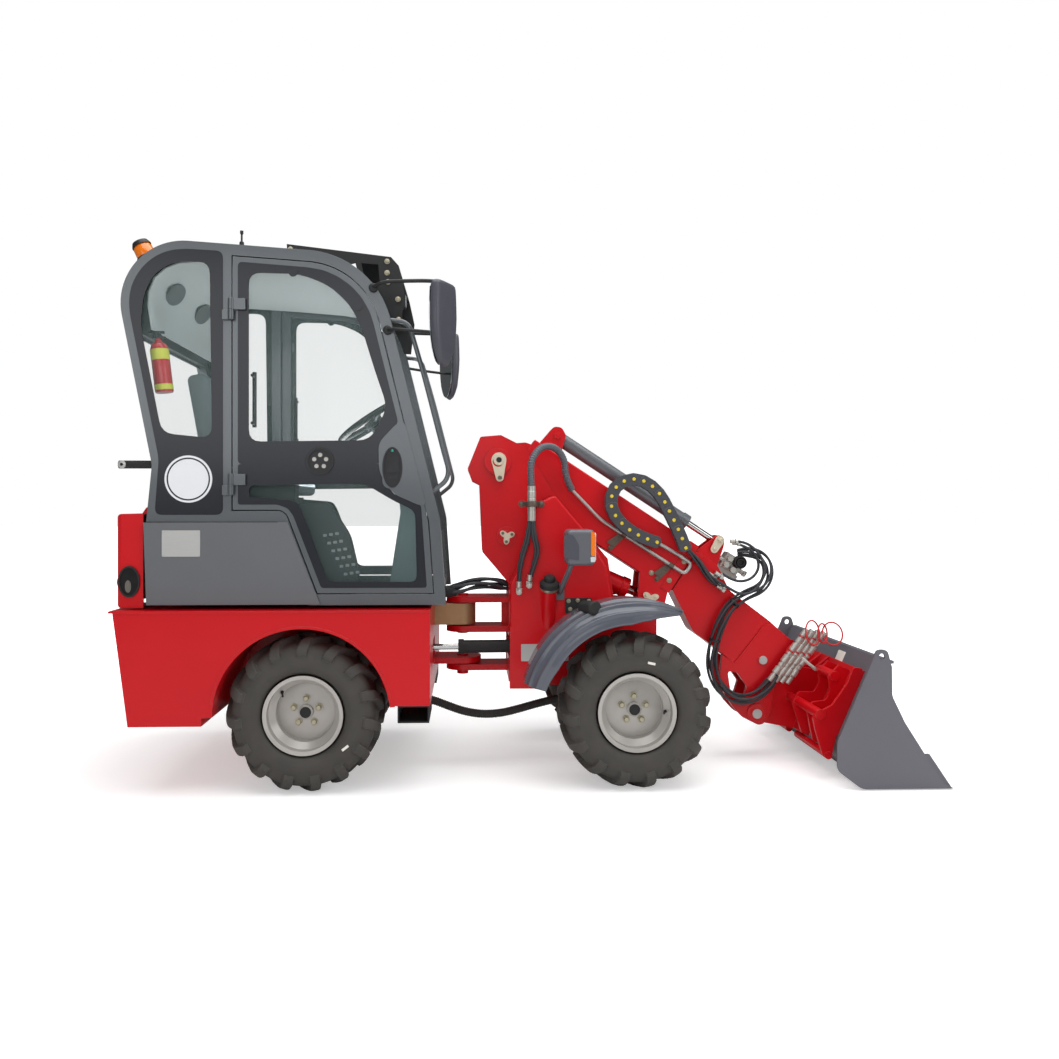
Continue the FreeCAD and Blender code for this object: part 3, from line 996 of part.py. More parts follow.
def build_boom_fittings():
    """Valve block on the neck's top and the bank of quick couplers at the head's right side."""
    block = box((1168, 1262), (-BLOCK_HALF, BLOCK_HALF), (176, BLOCK_TOP - FIT))
    spool = across(1214, 232, 16, -52, 52)
    foot = box((1150, 1276), (-22, 22), (150, 178))
    foot = foot.cut(plate([(1032, 0), (1032, BOOM_TOP - 16), (1150, 162, 40), (1264, 94.5, 60),
                           (1500, 80), (1500, 0)], -80, 80))
    save("valve_block", boom_frame(fuse(block, spool, foot)))
    (a, b), (c, d) = COUPLER_LOW, COUPLER_HIGH
    tubes = []
    for i in range(COUPLERS):
        over, up = i * COUPLER_STEP[0], i * COUPLER_STEP[1]
        y = COUPLER_Y + i * 3
        tubes.append(rod((a + over, y, b + up), (c + over, y, d + up), 11))
    far = COUPLERS - 1
    mid = ((a + c) / 2, (b + d) / 2)
    rail = rod((mid[0] - 12, COUPLER_Y, mid[1] - 6), (mid[0] + far * COUPLER_STEP[0] + 12,
                                                      COUPLER_Y + far * 3,
                                                      mid[1] + far * COUPLER_STEP[1] + 6), 9)
    arm = across(*COUPLER_ARM, 9, -INNER_CHEEK + 8 + FIT, COUPLER_Y)
    stem = rod((COUPLER_ARM[0], COUPLER_Y - 9, COUPLER_ARM[1]), (mid[0] + 30, COUPLER_Y + 4, mid[1] + 12), 8)
    save("couplers", boom_frame(fuse(rail, arm, stem, *tubes)))


def lever_point():
    a = math.radians(TILT_LEVER_ANGLE)
    return TOOL_X + TILT_LEVER * math.cos(a), TOOL_Z + TILT_LEVER * math.sin(a)


def swinging_cylinder(name, base, eye, radii, halves, barrel_share, piston_at):
    """A barrel with its base eye and a rod with its end eye, along a line in the XZ plane.

    radii holds those of the barrel, rod, base pin and eye pin; halves the half widths of both eyes.
    """
    barrel_r, rod_r, base_pin, eye_pin = radii
    base_half, eye_half = halves
    (x0, z0), (x1, z1) = base, eye
    start, end = V(x0, 0, z0), V(x1, 0, z1)
    long = (end - start).Length
    barrel = hollow_cylinder(toward(start, end, barrel_r * 0.7), toward(start, end, long * barrel_share),
                             barrel_r, rod_r)
    base_eye = across(x0, z0, barrel_r - 2, -base_half, base_half)
    barrel = fuse(barrel, base_eye).cut(across(x0, z0, base_pin + PIN_FIT, -200, 200))
    shaft = piston_rod(toward(start, end, piston_at), toward(start, end, long - eye_pin - 4), rod_r,
                       barrel_r - BARREL_WALL)
    tip = across(x1, z1, eye_pin + 14, -eye_half, eye_half)
    tip = tip.cut(across(x1, z1, eye_pin + PIN_FIT, -200, 200))
    shaft = fuse(shaft.cut(across(x1, z1, eye_pin + 10, -200, 200)), tip)
    save(name + "_barrel", barrel)
    save(name + "_rod", shaft)


def build_cylinders():
    swinging_cylinder("lift", LIFT_BASE, on_boom(*LIFT_EYE), (45, 22, PIN_RADIUS, PIN_RADIUS), (60, 34),
                      0.86, 178)
    swinging_cylinder("tilt", on_boom(*TILT_BASE), lever_point(), (33, 16, TILT_PIN_R, TILT_EYE_R),
                      (30, 20), 0.775, 136)


# ---------------------------------------------------------------- steering cylinder
STEER_BASE = (HITCH_X + 330, -110.0)
STEER_EYE = (HITCH_X - 260, -130.0)
STEER_BARREL_R = 30.0
STEER_PIN_R = 14.0
STEER_ROD_R = 14.0
STEER_BARREL_SHARE = 0.593    # of the distance between its pins


def build_steering_cylinder():
    """The steering cylinder lies flat beside the hitch, its barrel on the front frame."""
    (x0, y0), (x1, y1) = STEER_BASE, STEER_EYE
    start, tip = V(x0, y0, STEER_Z), V(x1, y1, STEER_Z)
    long = (tip - start).Length
    end = long * STEER_BARREL_SHARE
    bore_r = STEER_BARREL_R - 7
    body = rod(toward(start, tip, 18), toward(start, tip, end), STEER_BARREL_R)
    gland = rod(toward(start, tip, end - 26), toward(start, tip, end), STEER_BARREL_R + 5)
    bore = fuse(rod(toward(start, tip, 32), toward(start, tip, end - 24), bore_r),
                rod(toward(start, tip, end - 40), toward(start, tip, end + 4), STEER_ROD_R + FIT))
    eye = upright(x0, y0, 28, STEER_Z - 20, STEER_Z + 20)
    barrel = fuse(body, gland, eye).cut(bore).cut(upright(x0, y0, STEER_PIN_R + PIN_FIT, 0, 1000))
    save("steer_barrel", barrel)
    shaft = fuse(rod(toward(start, tip, 150), toward(start, tip, long - 16), STEER_ROD_R),
                 rod(toward(start, tip, 150), toward(start, tip, 172), bore_r - FIT))
    rod_eye = upright(x1, y1, 26, STEER_Z - 18, STEER_Z + 18)
    save("steer_rod", fuse(shaft, rod_eye).cut(upright(x1, y1, STEER_PIN_R + PIN_FIT, 0, 1000)))


# ---------------------------------------------------------------- tool
WALL_FOOT = (251.0, -37.0)    # foot of the bucket's flat back, from the tool pivot
WALL_TOP = (411.0, 330.0)
WING = 62.0                   # the side plates stand this far behind the bucket's back
HITCH_PLATE = 8.0
HITCH_HALF = 405.0
LEVER_IN, LEVER_OUT = 36.0, 54.0
INNER_CHEEK, MID_CHEEK = 150.0, 280.0
CHEEK = 14.0
BUCKET_FLOOR_X = 330.0        # where the bucket's back curve meets its floor, from the tool pivot
EYE_BORE = 13.0
WALL_LONG = math.hypot(WALL_TOP[0] - WALL_FOOT[0], WALL_TOP[1] - WALL_FOOT[1])


def wall_point(along, off):
    """(x, z) at a distance along the bucket's back from its foot, and off it towards the boom."""
    dx, dz = WALL_TOP[0] - WALL_FOOT[0], WALL_TOP[1] - WALL_FOOT[1]
    long = math.hypot(dx, dz)
    ux, uz = dx / long, dz / long
    return (TOOL_X + WALL_FOOT[0] + ux * along - uz * off, TOOL_Z + WALL_FOOT[1] + uz * along + ux * off)


def wall_plate(corners, y0, y1):
    """A plate whose outline is given along and off the bucket's back."""
    return plate([(*wall_point(*c[:2]), *c[2:]) for c in corners], y0, y1)


def build_quick_hitch():
    """The tool carrier: a plate against the bucket's back, centre levers, cheeks and their tubes."""
    back = wall_plate([(10, FIT), (322, FIT), (322, HITCH_PLATE), (10, HITCH_PLATE)], -HITCH_HALF, HITCH_HALF)
    ux, uz = lever_point()
    kx, kz = TOOL_X, TOOL_Z
    lever = plate([(kx - 46, kz - 2, 40), (ux - 46, uz - 6, 34), (ux - 6, uz + 40, 34),
                   wall_point(236, 60), wall_point(322, 12), wall_point(322, 4), wall_point(-30, 4),
                   wall_point(-66, 44), (kx + 40, kz - 52), (kx - 38, kz - 44, 40)], LEVER_IN, LEVER_OUT)
    lever = lever.cut(across(kx, kz, PIN_RADIUS + PIN_FIT, -200, 200))
    stub = across(ux, uz, TILT_EYE_R, 26, LEVER_IN + 2)
    inner = wall_plate([(300, 4), (300, 60), (240, 84, 20), (190, 60, 20), (140, 62, 20),
                        (112, 132, 20), (52, 138, 24), (-60, 40, 20), (-60, 6), (0, 4)], INNER_CHEEK,
                       INNER_CHEEK + CHEEK)
    mid = wall_plate([(300, 4), (300, 66), (236, 92, 24), (180, 58, 20), (130, 58, 20), (100, 112, 20),
                      (52, 118, 24), (-60, 40, 20), (-60, 6), (0, 4)], MID_CHEEK, MID_CHEEK + CHEEK)
    outer = wall_plate([(300, 4), (330, 14, 14), (318, 54, 16), (246, 50), (126, 76, 20), (51, 140, 24),
                        (0, 104, 30), (-64, 50, 20), (-98, 22, 20), (-96, -14, 18), (-60, -8), (0, 4)],
                       HITCH_HALF - CHEEK, HITCH_HALF)
    top, middle, low = wall_point(248, 66), wall_point(70, 112), wall_point(-82, 6)
    tubes = [across(*top, 22, INNER_CHEEK - 8, MID_CHEEK + CHEEK + 6),
             across(*middle, 22, LEVER_OUT - 2, HITCH_HALF + 10),
             across(*low, 17, LEVER_OUT - 2, HITCH_HALF + 8)]
    ribs = [wall_plate([(30, 4), (30, 40), (-60, 40), (-60, 20), (-30, 4)], LEVER_OUT - 2, INNER_CHEEK + 2)]
    carrier = fuse(back, *both_sides(lever, stub, inner, mid, outer, *tubes, *ribs))
    save("quick_hitch", carrier)


def build_bucket():
    """General-purpose bucket: rolled shell, side plates with lifting eyes, cutting edge, corner plates."""
    tx, foot_z, t = TOOL_X, BUCKET_CLEARANCE, BUCKET_PLATE
    top, foot = wall_point(WALL_LONG, 0), wall_point(0, 0)
    lip = tx + BUCKET_REACH - 110
    outer = [top, (*foot, 90), (tx + BUCKET_FLOOR_X - 64, 86, 60),
             (tx + BUCKET_FLOOR_X + 22, foot_z, 70), (lip, foot_z)]
    inner = [(lip, foot_z + t), (tx + BUCKET_FLOOR_X + 26, foot_z + t, 62),
             (tx + BUCKET_FLOOR_X - 56, 90, 52), (foot[0] + t + 1, foot[1], 82), (top[0] + t + 1, top[1])]
    shell = plate(outer + inner, -BUCKET_Y + BUCKET_SIDE - 1, BUCKET_Y - BUCKET_SIDE + 1)
    rim_bar = box((top[0] - 1, top[0] + 26), (-BUCKET_Y + 2, BUCKET_Y - 2), (top[1] - 12, top[1]))
    edge = plate([(lip - 40, foot_z), (tx + BUCKET_REACH, foot_z),
                  (tx + BUCKET_REACH - 36, foot_z + 18), (lip - 40, foot_z + 18)], -BUCKET_Y, BUCKET_Y)
    ear = wall_point(WALL_LONG + 6, WING - 30)
    wing_top, wing_foot = wall_point(WALL_LONG, WING), wall_point(0, WING)
    side = plate([wing_top, (ear[0] - 26, ear[1] + 30, 24), (ear[0] + 24, ear[1] + 30, 24),
                  (ear[0] + 44, ear[1] - 44), (tx + 429, 402, 60), (tx + 483, 290, 100),
                  (tx + 583, 132), (tx + BUCKET_REACH - 24, foot_z),
                  (tx + BUCKET_FLOOR_X - 31, foot_z, 70), (tx + 193, 86, 50), (*wing_foot, 60)],
                 BUCKET_Y - BUCKET_SIDE, BUCKET_Y)
    side = side.cut(across(*ear, EYE_BORE, 0, 900))
    tooth = plate([(tx + 569, 148), (tx + 595, 150), (tx + BUCKET_REACH - 4, foot_z), (tx + 569, foot_z)],
                  BUCKET_Y - BUCKET_SIDE - 10, BUCKET_Y - BUCKET_SIDE + 1)
    save("bucket", fuse(shell, rim_bar, edge, *both_sides(side, tooth)))


# ---------------------------------------------------------------- hoses, pipe and chain
BUNDLE_R = 15.0
BUNDLE_Y = -TANK_Y - 28.0
CLAMP_X, CLAMP_Z = FRONT_X - 431.0, 1218.0
SMALL_HOSE_R = 7.0
PIPE_R = 9.0
PIPE_Y = -BOOM_WIDTH / 2 - 17.0
CHAIN_Y = (-BOOM_WIDTH / 2 - 53.0, -BOOM_WIDTH / 2 - 17.0)
CHAIN_HALF = 15.0
CHAIN_ROUTE = [(833, 92), (788, 80), (744, 72), (697, 69), (650, 74), (604, 86), (563, 110), (536, 148),
               (526, 196), (540, 243), (573, 280), (617, 299), (664, 302), (711, 293), (756, 273),
               (799, 248), (841, 224), (882, 199), (923, 172), (962, 144)]
CHAIN_FOOT = (806, 846, 78, 106)
NECK_HOSE_R = 11.0
FEED_HOSE_R = 9.0
SLEEVE_R = 20.0
CONDUIT_R = 19.0
HOSE_SHORT = 95.5             # the conduit stops this far behind the front axle's gear case


def hose(label, points, radius):
    """A hose as a round tube; prints its length, tightest bend, and volume over section times length."""
    pts = [V(*p) for p in points]
    corners = bends(pts)
    long = sum((b - a).Length for a, b in zip(pts, pts[1:]))
    long += sum(bend * (math.pi - 2 * half) - 2 * cut for _, _, cut, half, bend in corners)
    tube = bent_tube(points, radius)
    share = tube.Volume / (math.pi * radius * radius * long)
    print(label, "length %.0f" % long, "radius %.1f" % radius,
          "tightest bend %.0f" % min(c[4] for c in corners), "volume share %.3f" % share)
    return tube


def build_tower_hose():
    """The bundle that arches from the tower's clamp to the boom's side, and two of its hoses below."""
    x, y, z = CLAMP_X, BUNDLE_Y, CLAMP_Z
    arch = [(x, y, z + 74), (x - 5, y - 3, z + 140), (x, y, z + 207), (x + 48, y + 33, z + 265),
            (x + 116, y + 79, z + 265), (x + 164, y + 112, z + 207), (x + 166, y + 116, z + 125),
            (x + 200, y + 140, z + 66)]
    rear = [(x - 7, y, z - 80), (x - 9, y - 2, z - 150), (x - 38, y, z - 232), (x - 54, y + 2, z - 310),
            (x - 57, y + 6, z - 368)]
    front = [(x + 8, y, z - 80), (x + 15, y - 3, z - 146), (x + 34, y - 2, z - 205),
             (x + 18, y + 2, z - 268), (x - 8, y + 6, z - 340)]
    sleeve = rod((x, y, z - 84), (x, y, z + 90), BUNDLE_R + 3)
    plate_piece = box((x - 50, x + 52), (y - 8, -TANK_Y - FIT), (z - 13, z + 13))
    banjos = [rod((x - 57, y + 6, z - 384), (x - 57, -TANK_Y - FIT, z - 384), 15),
              rod((x - 9, y + 6, z - 354), (x - 9, -TANK_Y - FIT, z - 354), 15)]
    tubes = [hose("tower arch", arch, BUNDLE_R), hose("tower rear hose", rear, SMALL_HOSE_R),
             hose("tower front hose", front, SMALL_HOSE_R)]
    save("tower_hoses", fuse(sleeve, plate_piece, *banjos, *tubes))


def build_boom_pipe():
    """Steel pipe down the boom's right side with its return bend, on two clamps."""
    route = [(366, PIPE_Y, 80), (560, PIPE_Y, 36), (1034, PIPE_Y, 42), (1034, PIPE_Y, 100),
             (930, PIPE_Y, 100), (852, PIPE_Y, 94)]
    face = -BOOM_WIDTH / 2 - FIT
    clamps = []
    for d, n in ((681, 37.5), (948, 41)):
        clamps.append(box((d - 11, d + 11), (PIPE_Y - PIPE_R - 3, face), (n - 14, n + 14)))
        leg = plate([(d - 9, n - 6), (d + 9, n - 6), (d - 34, n - 84, 10), (d - 56, n - 74, 10)], 0, 7)
        leg.translate(V(0, face - 7, 0))
        clamps.append(leg)
    save("boom_pipe", boom_frame(fuse(bent_tube(route, PIPE_R), *clamps)))


def build_energy_chain():
    """Link chain that carries the hoses along the boom: a chain of flat links round one loop."""
    links = []
    for (d0, n0), (d1, n1) in zip(CHAIN_ROUTE, CHAIN_ROUTE[1:]):
        long = math.hypot(d1 - d0, n1 - n0)
        over, up = -(n1 - n0) / long * CHAIN_HALF, (d1 - d0) / long * CHAIN_HALF
        links.append(plate([(d0 + over, n0 + up), (d1 + over, n1 + up), (d1 - over, n1 - up),
                            (d0 - over, n0 - up)], *CHAIN_Y))
    knuckles = [across(d, n, CHAIN_HALF, *CHAIN_Y) for d, n in CHAIN_ROUTE]
    foot = box(CHAIN_FOOT[:2], (CHAIN_Y[1] - 2, -BOOM_WIDTH / 2 - FIT), CHAIN_FOOT[2:])
    save("energy_chain", boom_frame(fuse(*links, *knuckles, foot)))


def build_neck_hoses():
    """The bundle from the valve block down the neck to the couplers, and the feed from the chain."""
    loop = [(1212, -18, 274), (1262, -34, 318), (1338, -58, 318), (1383, -78, 258), (1378, -94, 180),
            (1328, -104, 112), (1294, -108, 30), (1300, -110, -65), (1325, -110, -165),
            (1375, -110, -260), (1460, -110, -322), (1560, -112, -328), (1630, -116, -265),
            (1652, -120, -178), (1652, -122, -119)]
    feed = [(982, -115, 142), (1048, -112, 128), (1110, -106, 100), (1168, -98, 84), (1226, -92, 92)]
    elbow = rod((1208, -18, BLOCK_TOP), (1208, -18, BLOCK_TOP + 32), NECK_HOSE_R)
    socket = rod((1214, -92, 91), (1254, -92, 97), FEED_HOSE_R + 3)
    riser = fuse(rod((1246, -92, 96), (1246, -92, 214), 7),
                 rod((1246, -99, 212), (1246, -BLOCK_HALF - FIT, 212), 7))
    save("neck_hoses", boom_frame(fuse(hose("neck bundle", loop, NECK_HOSE_R), elbow)),
         boom_frame(fuse(hose("neck feed", feed, FEED_HOSE_R), socket, riser)))


def build_frame_hoses():
    """The hose bundle from the cab to the tower above the hitch, and the ribbed conduit under it."""
    x0 = FRAME_FRONT_X + 44.8
    upper = [(x0, -150, 812), (x0 + 62, -152, 822), (x0 + 130, -146, 846), (x0 + 200, -120, 852),
             (x0 + 264, -84, 840), (x0 + 316, -62, 824)]
    boot = rod((x0, -150, 812), (x0 + 14, -150, 814), SLEEVE_R + 5)
    save("cab_hoses", fuse(hose("cab bundle", upper, SLEEVE_R), boot))
    back = FRAME_FRONT_X
    lower = [(back - 80, -140, 326), (back - 10, -146, 312), (back + 62, -150, 284),
             (back + 140, -152, 256), (back + 226, -152, 242), (back + 312, -148, 246),
             (back + 396, -140, 264), (back + 484, -128, 286), (back + 580, -112, 304),
             (back + 680, -92, 318), (FRONT_X - HOSE_SHORT, -80, 326)]
    hanger = box((back - 66, back - 46), (-RAIL_Y + 2, -136), (320, LEG_Z - FIT))
    save("hitch_hose", fuse(hose("hitch conduit", lower, CONDUIT_R), hanger))


def main():
    os.makedirs("parts", exist_ok=True)
    build_wheels()
    build_rear_frame()
    build_rear_fenders()
    build_rear_running_gear()
    build_steps_and_stops()
    build_hood()
    build_side_covers()
    build_rear_lamps()
    build_cab_frame()
    build_cab_skin()
    build_cab_floor()
    build_seat()
    build_driving_controls()
    build_doors()
    build_cab_fittings()
    build_front_frame()
    build_side_tanks()
    build_front_fenders()
    build_headlamps()
    build_front_axle()
    build_outer_boom()
    build_inner_boom()
    build_boom_fittings()
    build_cylinders()
    build_steering_cylinder()
    build_quick_hitch()
    build_bucket()
    build_tower_hose()
    build_boom_pipe()
    build_energy_chain()
    build_neck_hoses()
    build_frame_hoses()


main()
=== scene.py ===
"""Visual model of a compact telescopic wheel loader: finishes on the CAD pieces, and the tread, cushions,
hoses, glazing print, lamps and small fittings that the CAD leaves out. Metres, X forward, Z up."""

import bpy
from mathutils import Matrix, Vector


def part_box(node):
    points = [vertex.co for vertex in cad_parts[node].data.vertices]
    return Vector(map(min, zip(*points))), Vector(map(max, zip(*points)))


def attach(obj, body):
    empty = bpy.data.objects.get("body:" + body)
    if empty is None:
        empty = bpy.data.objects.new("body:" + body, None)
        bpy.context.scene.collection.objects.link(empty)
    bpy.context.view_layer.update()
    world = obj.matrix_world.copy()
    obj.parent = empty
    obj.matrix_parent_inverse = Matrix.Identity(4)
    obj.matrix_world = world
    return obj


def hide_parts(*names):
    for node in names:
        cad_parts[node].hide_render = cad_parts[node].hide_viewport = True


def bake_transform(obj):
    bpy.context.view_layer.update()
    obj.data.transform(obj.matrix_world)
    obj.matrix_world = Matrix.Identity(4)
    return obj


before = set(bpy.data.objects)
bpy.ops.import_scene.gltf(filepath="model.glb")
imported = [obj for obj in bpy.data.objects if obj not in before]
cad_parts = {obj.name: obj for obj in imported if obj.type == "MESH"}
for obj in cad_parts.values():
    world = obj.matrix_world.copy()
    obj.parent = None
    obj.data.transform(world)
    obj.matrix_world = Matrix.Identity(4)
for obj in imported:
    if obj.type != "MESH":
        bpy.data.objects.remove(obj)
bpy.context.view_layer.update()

import math

import bmesh
import bpy
import numpy as np

# ---------------------------------------------------------------- chassis weldments
# Folded and welded steel plate, powder coated in gloss red. The plate edges look a little lighter,
# partly where the coat is thin and partly as a painted highlight, and the coat has the faint ripple of
# sprayed powder.


def linear(code):
    """sRGB hex to linear RGBA: c / 12.92 up to 0.04045, ((c + 0.055) / 1.055) ** 2.4 above it."""
    c = np.array([int(code[i:i + 2], 16) for i in (1, 3, 5)]) / 255
    return (*np.where(c <= 0.04045, c / 12.92, ((c + 0.055) / 1.055) ** 2.4).tolist(), 1.0)


def node(tree, kind, links=None, **settings):
    """Adds a shader node: settings are its own properties, links its inputs' sources or constant values."""
    made = tree.nodes.new(kind)
    for key, value in settings.items():
        setattr(made, key, value)
    for key, value in (links or {}).items():
        if isinstance(value, bpy.types.NodeSocket):
            tree.links.new(value, made.inputs[key])
        else:
            made.inputs[key].default_value = value
    return made


def finish(name, code, **sockets):
    """A Principled material of one base colour; other sockets are constants, with _ for a space in their
    names."""
    made = bpy.data.materials.new(name)
    made.use_nodes = True
    face = made.node_tree.nodes["Principled BSDF"]
    face.inputs["Base Color"].default_value = linear(code)
    for key, value in sockets.items():
        face.inputs[key.replace("_", " ")].default_value = value
    return made


def grain(made, size_mm, tint=0.04, depth_mm=0.05, edge_mm=0.0, lift=0.0, other=None, stretch=(1, 1, 1)):
    """Breaks up a finish. Noise of size_mm moves the colour by tint (towards other, if given) and the
    roughness with it, the same noise four times finer raises depth_mm, and over edge_mm plate edges turn
    round and lift in colour, partly as thin, worn coat and partly as a painted edge highlight."""
    tree = made.node_tree
    face = tree.nodes["Principled BSDF"]
    base = tuple(face.inputs["Base Color"].default_value)
    rough = face.inputs["Roughness"].default_value
    place = node(tree, "ShaderNodeMapping", {"Vector": node(tree, "ShaderNodeTexCoord").outputs["Object"],
                                             "Scale": stretch})
    coarse = node(tree, "ShaderNodeTexNoise", {"Vector": place.outputs[0], "Scale": 1000 / size_mm,
                                               "Detail": 4.0})
    dark = tuple(c * (1 - tint) for c in base[:3]) + (1.0,)
    light = other or tuple(min(1.0, c * (1 + tint)) for c in base[:3]) + (1.0,)
    colour = node(tree, "ShaderNodeMix", {0: coarse.outputs["Fac"], 6: dark, 7: light},
                  data_type="RGBA").outputs[2]
    gloss = node(tree, "ShaderNodeMapRange", {"Value": coarse.outputs["Fac"], "To Min": rough * 0.85,
                                              "To Max": min(1.0, rough * 1.18)})
    tree.links.new(gloss.outputs[0], face.inputs["Roughness"])
    fine = node(tree, "ShaderNodeTexNoise", {"Vector": place.outputs[0], "Scale": 4000 / size_mm,
                                             "Detail": 2.0})
    bump = node(tree, "ShaderNodeBump", {"Height": fine.outputs["Fac"], "Distance": depth_mm / 1000,
                                         "Strength": 0.6})
    if edge_mm:
        round_edge = node(tree, "ShaderNodeBevel", {"Radius": edge_mm / 1000}, samples=4)
        tree.links.new(round_edge.outputs[0], bump.inputs["Normal"])
        flat = node(tree, "ShaderNodeNewGeometry")
        same = node(tree, "ShaderNodeVectorMath", {0: round_edge.outputs[0], 1: flat.outputs["Normal"]},
                    operation="DOT_PRODUCT")
        # Edges turn paler by lift: partly thin, worn coat, partly a painted highlight along every edge.
        edge_wear_and_highlight_mask = node(tree, "ShaderNodeMapRange", {"Value": same.outputs["Value"], "From Min": 0.97,
                                                 "From Max": 0.75, "To Max": lift})
        edge_wear_and_highlight_colour = tuple(c + (1 - c) * 0.35 for c in base[:3]) + (1.0,)
        colour = node(tree, "ShaderNodeMix", {0: edge_wear_and_highlight_mask.outputs[0], 6: colour, 7: edge_wear_and_highlight_colour},
                      data_type="RGBA").outputs[2]
    tree.links.new(colour, face.inputs["Base Color"])
    tree.links.new(bump.outputs[0], face.inputs["Normal"])
    return made


def dress(made, *nodes):
    """Puts a finish on carried-over CAD pieces."""
    for name in nodes:
        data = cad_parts[name].data
        data.materials.clear()
        data.materials.append(made)


red_powder = grain(finish("red_powder_coat", "#C80B16", Roughness=0.34, Coat_Weight=0.12, Coat_Roughness=0.1,
                          Specular_IOR_Level=0.25), 260, 0.05, 0.06, edge_mm=2.2, lift=0.25)
dress(red_powder, "rear_frame", "rear_fenders", "front_frame", "side_tanks", "hood", "outer_boom",
      "inner_boom", "quick_hitch", "lift_barrel", "tilt_barrel")

# The steering knuckle is a bronze-coloured cast arm left bare between the red hitch plates.
knuckle_bronze = grain(finish("cast_knuckle_bronze", "#B08F68", Metallic=0.55, Roughness=0.42), 30, 0.12, 0.4,
                       edge_mm=2.5, lift=0.2)


def patch(name, made, low, high):
    """Gives a second finish to the faces of a CAD piece whose middles lie in a box: low and high corners,
    metres."""
    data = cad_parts[name].data
    data.materials.append(made)
    corners = np.zeros(len(data.vertices) * 3)
    data.vertices.foreach_get("co", corners)
    loops = np.zeros(len(data.polygons) * 3, int)
    data.polygons.foreach_get("vertices", loops)
    middle = corners.reshape(-1, 3)[loops.reshape(-1, 3)].mean(1)
    inside = np.all((middle >= low) & (middle <= high), axis=1)
    index = np.zeros(len(data.polygons), int)
    data.polygons.foreach_get("material_index", index)
    index[inside] = len(data.materials) - 1
    data.polygons.foreach_set("material_index", index)
    data.update()


patch("rear_frame", knuckle_bronze, (-0.4505, -0.2, 0.642), (-0.22, 0.2, 0.742))

# ---------------------------------------------------------------- drive train
# Cast axle housings and the engine with its pump, painted black at the foundry's rough finish.
black_iron = grain(finish("black_cast_iron", "#232325", Metallic=0.2, Roughness=0.6), 14, 0.2, 0.5,
                   edge_mm=3, lift=0.2)
dress(black_iron, "rear_axle", "front_axle", "engine_block")

# ---------------------------------------------------------------- wheels
# Pressed steel disc wheels in silver lacquer, with five zinc bolts, a black hub cap and a rubber valve
# stem.


def grid(rows, columns, wrap_rows=False, wrap_columns=False):
    """The quads of a rows by columns grid of points, closed round either way if asked."""
    i = np.arange(rows if wrap_rows else rows - 1)[:, None]
    j = np.arange(columns if wrap_columns else columns - 1)[None, :]
    down, right = (i + 1) % rows, (j + 1) % columns
    return np.stack(np.broadcast_arrays(i * columns + j, i * columns + right, down * columns + right,
                                        down * columns + j), -1).reshape(-1, 4)


def put(name, shapes, made, body, slot=None, replaces=(), sharp=35.0, turn=True):
    """Makes one piece of (points, [face arrays]) shapes: joined, doubles merged, normals outward, riding
    on a body."""
    points = np.concatenate([np.reshape(p, (-1, 3)) for p, _ in shapes])
    starts = np.cumsum([0] + [np.reshape(p, (-1, 3)).shape[0] for p, _ in shapes])
    faces = [f for (_, groups), start in zip(shapes, starts) for g in groups
             for f in (np.asarray(g) + start).tolist()]
    data = bpy.data.meshes.new(name)
    data.from_pydata(points.tolist(), [], faces)
    whole = bmesh.new()
    whole.from_mesh(data)
    bmesh.ops.remove_doubles(whole, verts=whole.verts, dist=1e-6)
    if turn:
        bmesh.ops.recalc_face_normals(whole, faces=whole.faces)
    whole.to_mesh(data)
    whole.free()
    data.materials.append(made)
    data.shade_smooth()
    data.set_sharp_from_angle(angle=math.radians(sharp))
    piece = bpy.data.objects.new(name, data)
    bpy.context.scene.collection.objects.link(piece)
    if replaces:
        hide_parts(*replaces)
    if body:
        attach(piece, body)
    return piece


def oblong(x, z, far_x, far_z):
    """The corners of a rectangle between two opposite ones."""
    return [(x, z), (far_x, z), (far_x, far_z), (x, far_z)]


def lathe(profile, origin, along, sides=32, phase=0.0):
    """A profile of (radius, distance) pairs turned about a line from origin: origin + distance * along +
    radius * (cos a * u + sin a * v), where u and v are square to the line."""
    profile = np.array(profile, float)
    w = np.array(along, float) / np.linalg.norm(along)
    u = np.cross(w, (0.31, 0.17, 0.93) if abs(w[2]) < 0.9 else (1.0, 0.0, 0.0))
    u /= np.linalg.norm(u)
    v = np.cross(w, u)
    a = np.linspace(0, 2 * np.pi, sides, endpoint=False) + phase
    round_it = np.cos(a)[None, :, None] * u + np.sin(a)[None, :, None] * v
    points = np.array(origin) + profile[:, 1, None, None] * w + profile[:, 0, None, None] * round_it
    return points, [grid(len(profile), sides, wrap_columns=True)]


def bolt(origin, along, size, head=0.62, washer=0.0):
    """A hex head of size across its flats on its washer, both turned about the bolt's line."""
    shapes = [lathe([(0, size * head), (size * 0.44, size * head), (size * 0.577, size * head * 0.85),
                     (size * 0.577, 0), (0, 0)], origin, along, 6)]
    if washer:
        shapes.append(lathe(oblong(0, size * 0.14, washer, 0), origin, along, 20))
    return shapes


silver_lacquer = grain(finish("silver_lacquer", "#B9B5B0", Metallic=0.35, Roughness=0.38,
                              Coat_Weight=0.2), 60, 0.05, 0.08, edge_mm=1.2, lift=0.3)
zinc = grain(finish("zinc_passivate", "#B4AE98", Metallic=0.85, Roughness=0.35), 12, 0.12, 0.05)
bare_steel = grain(finish("machined_steel", "#77736C", Metallic=0.8, Roughness=0.45), 10, 0.15, 0.1)
soft_black = grain(finish("moulded_rubber_black", "#1C1C1D", Roughness=0.62), 9, 0.15, 0.1)
wheels = {side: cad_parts["tyre_" + side] for side in ("rear_right", "rear_left", "front_right",
                                                            "front_left")}
dress(silver_lacquer, *["rim_" + side for side in wheels])
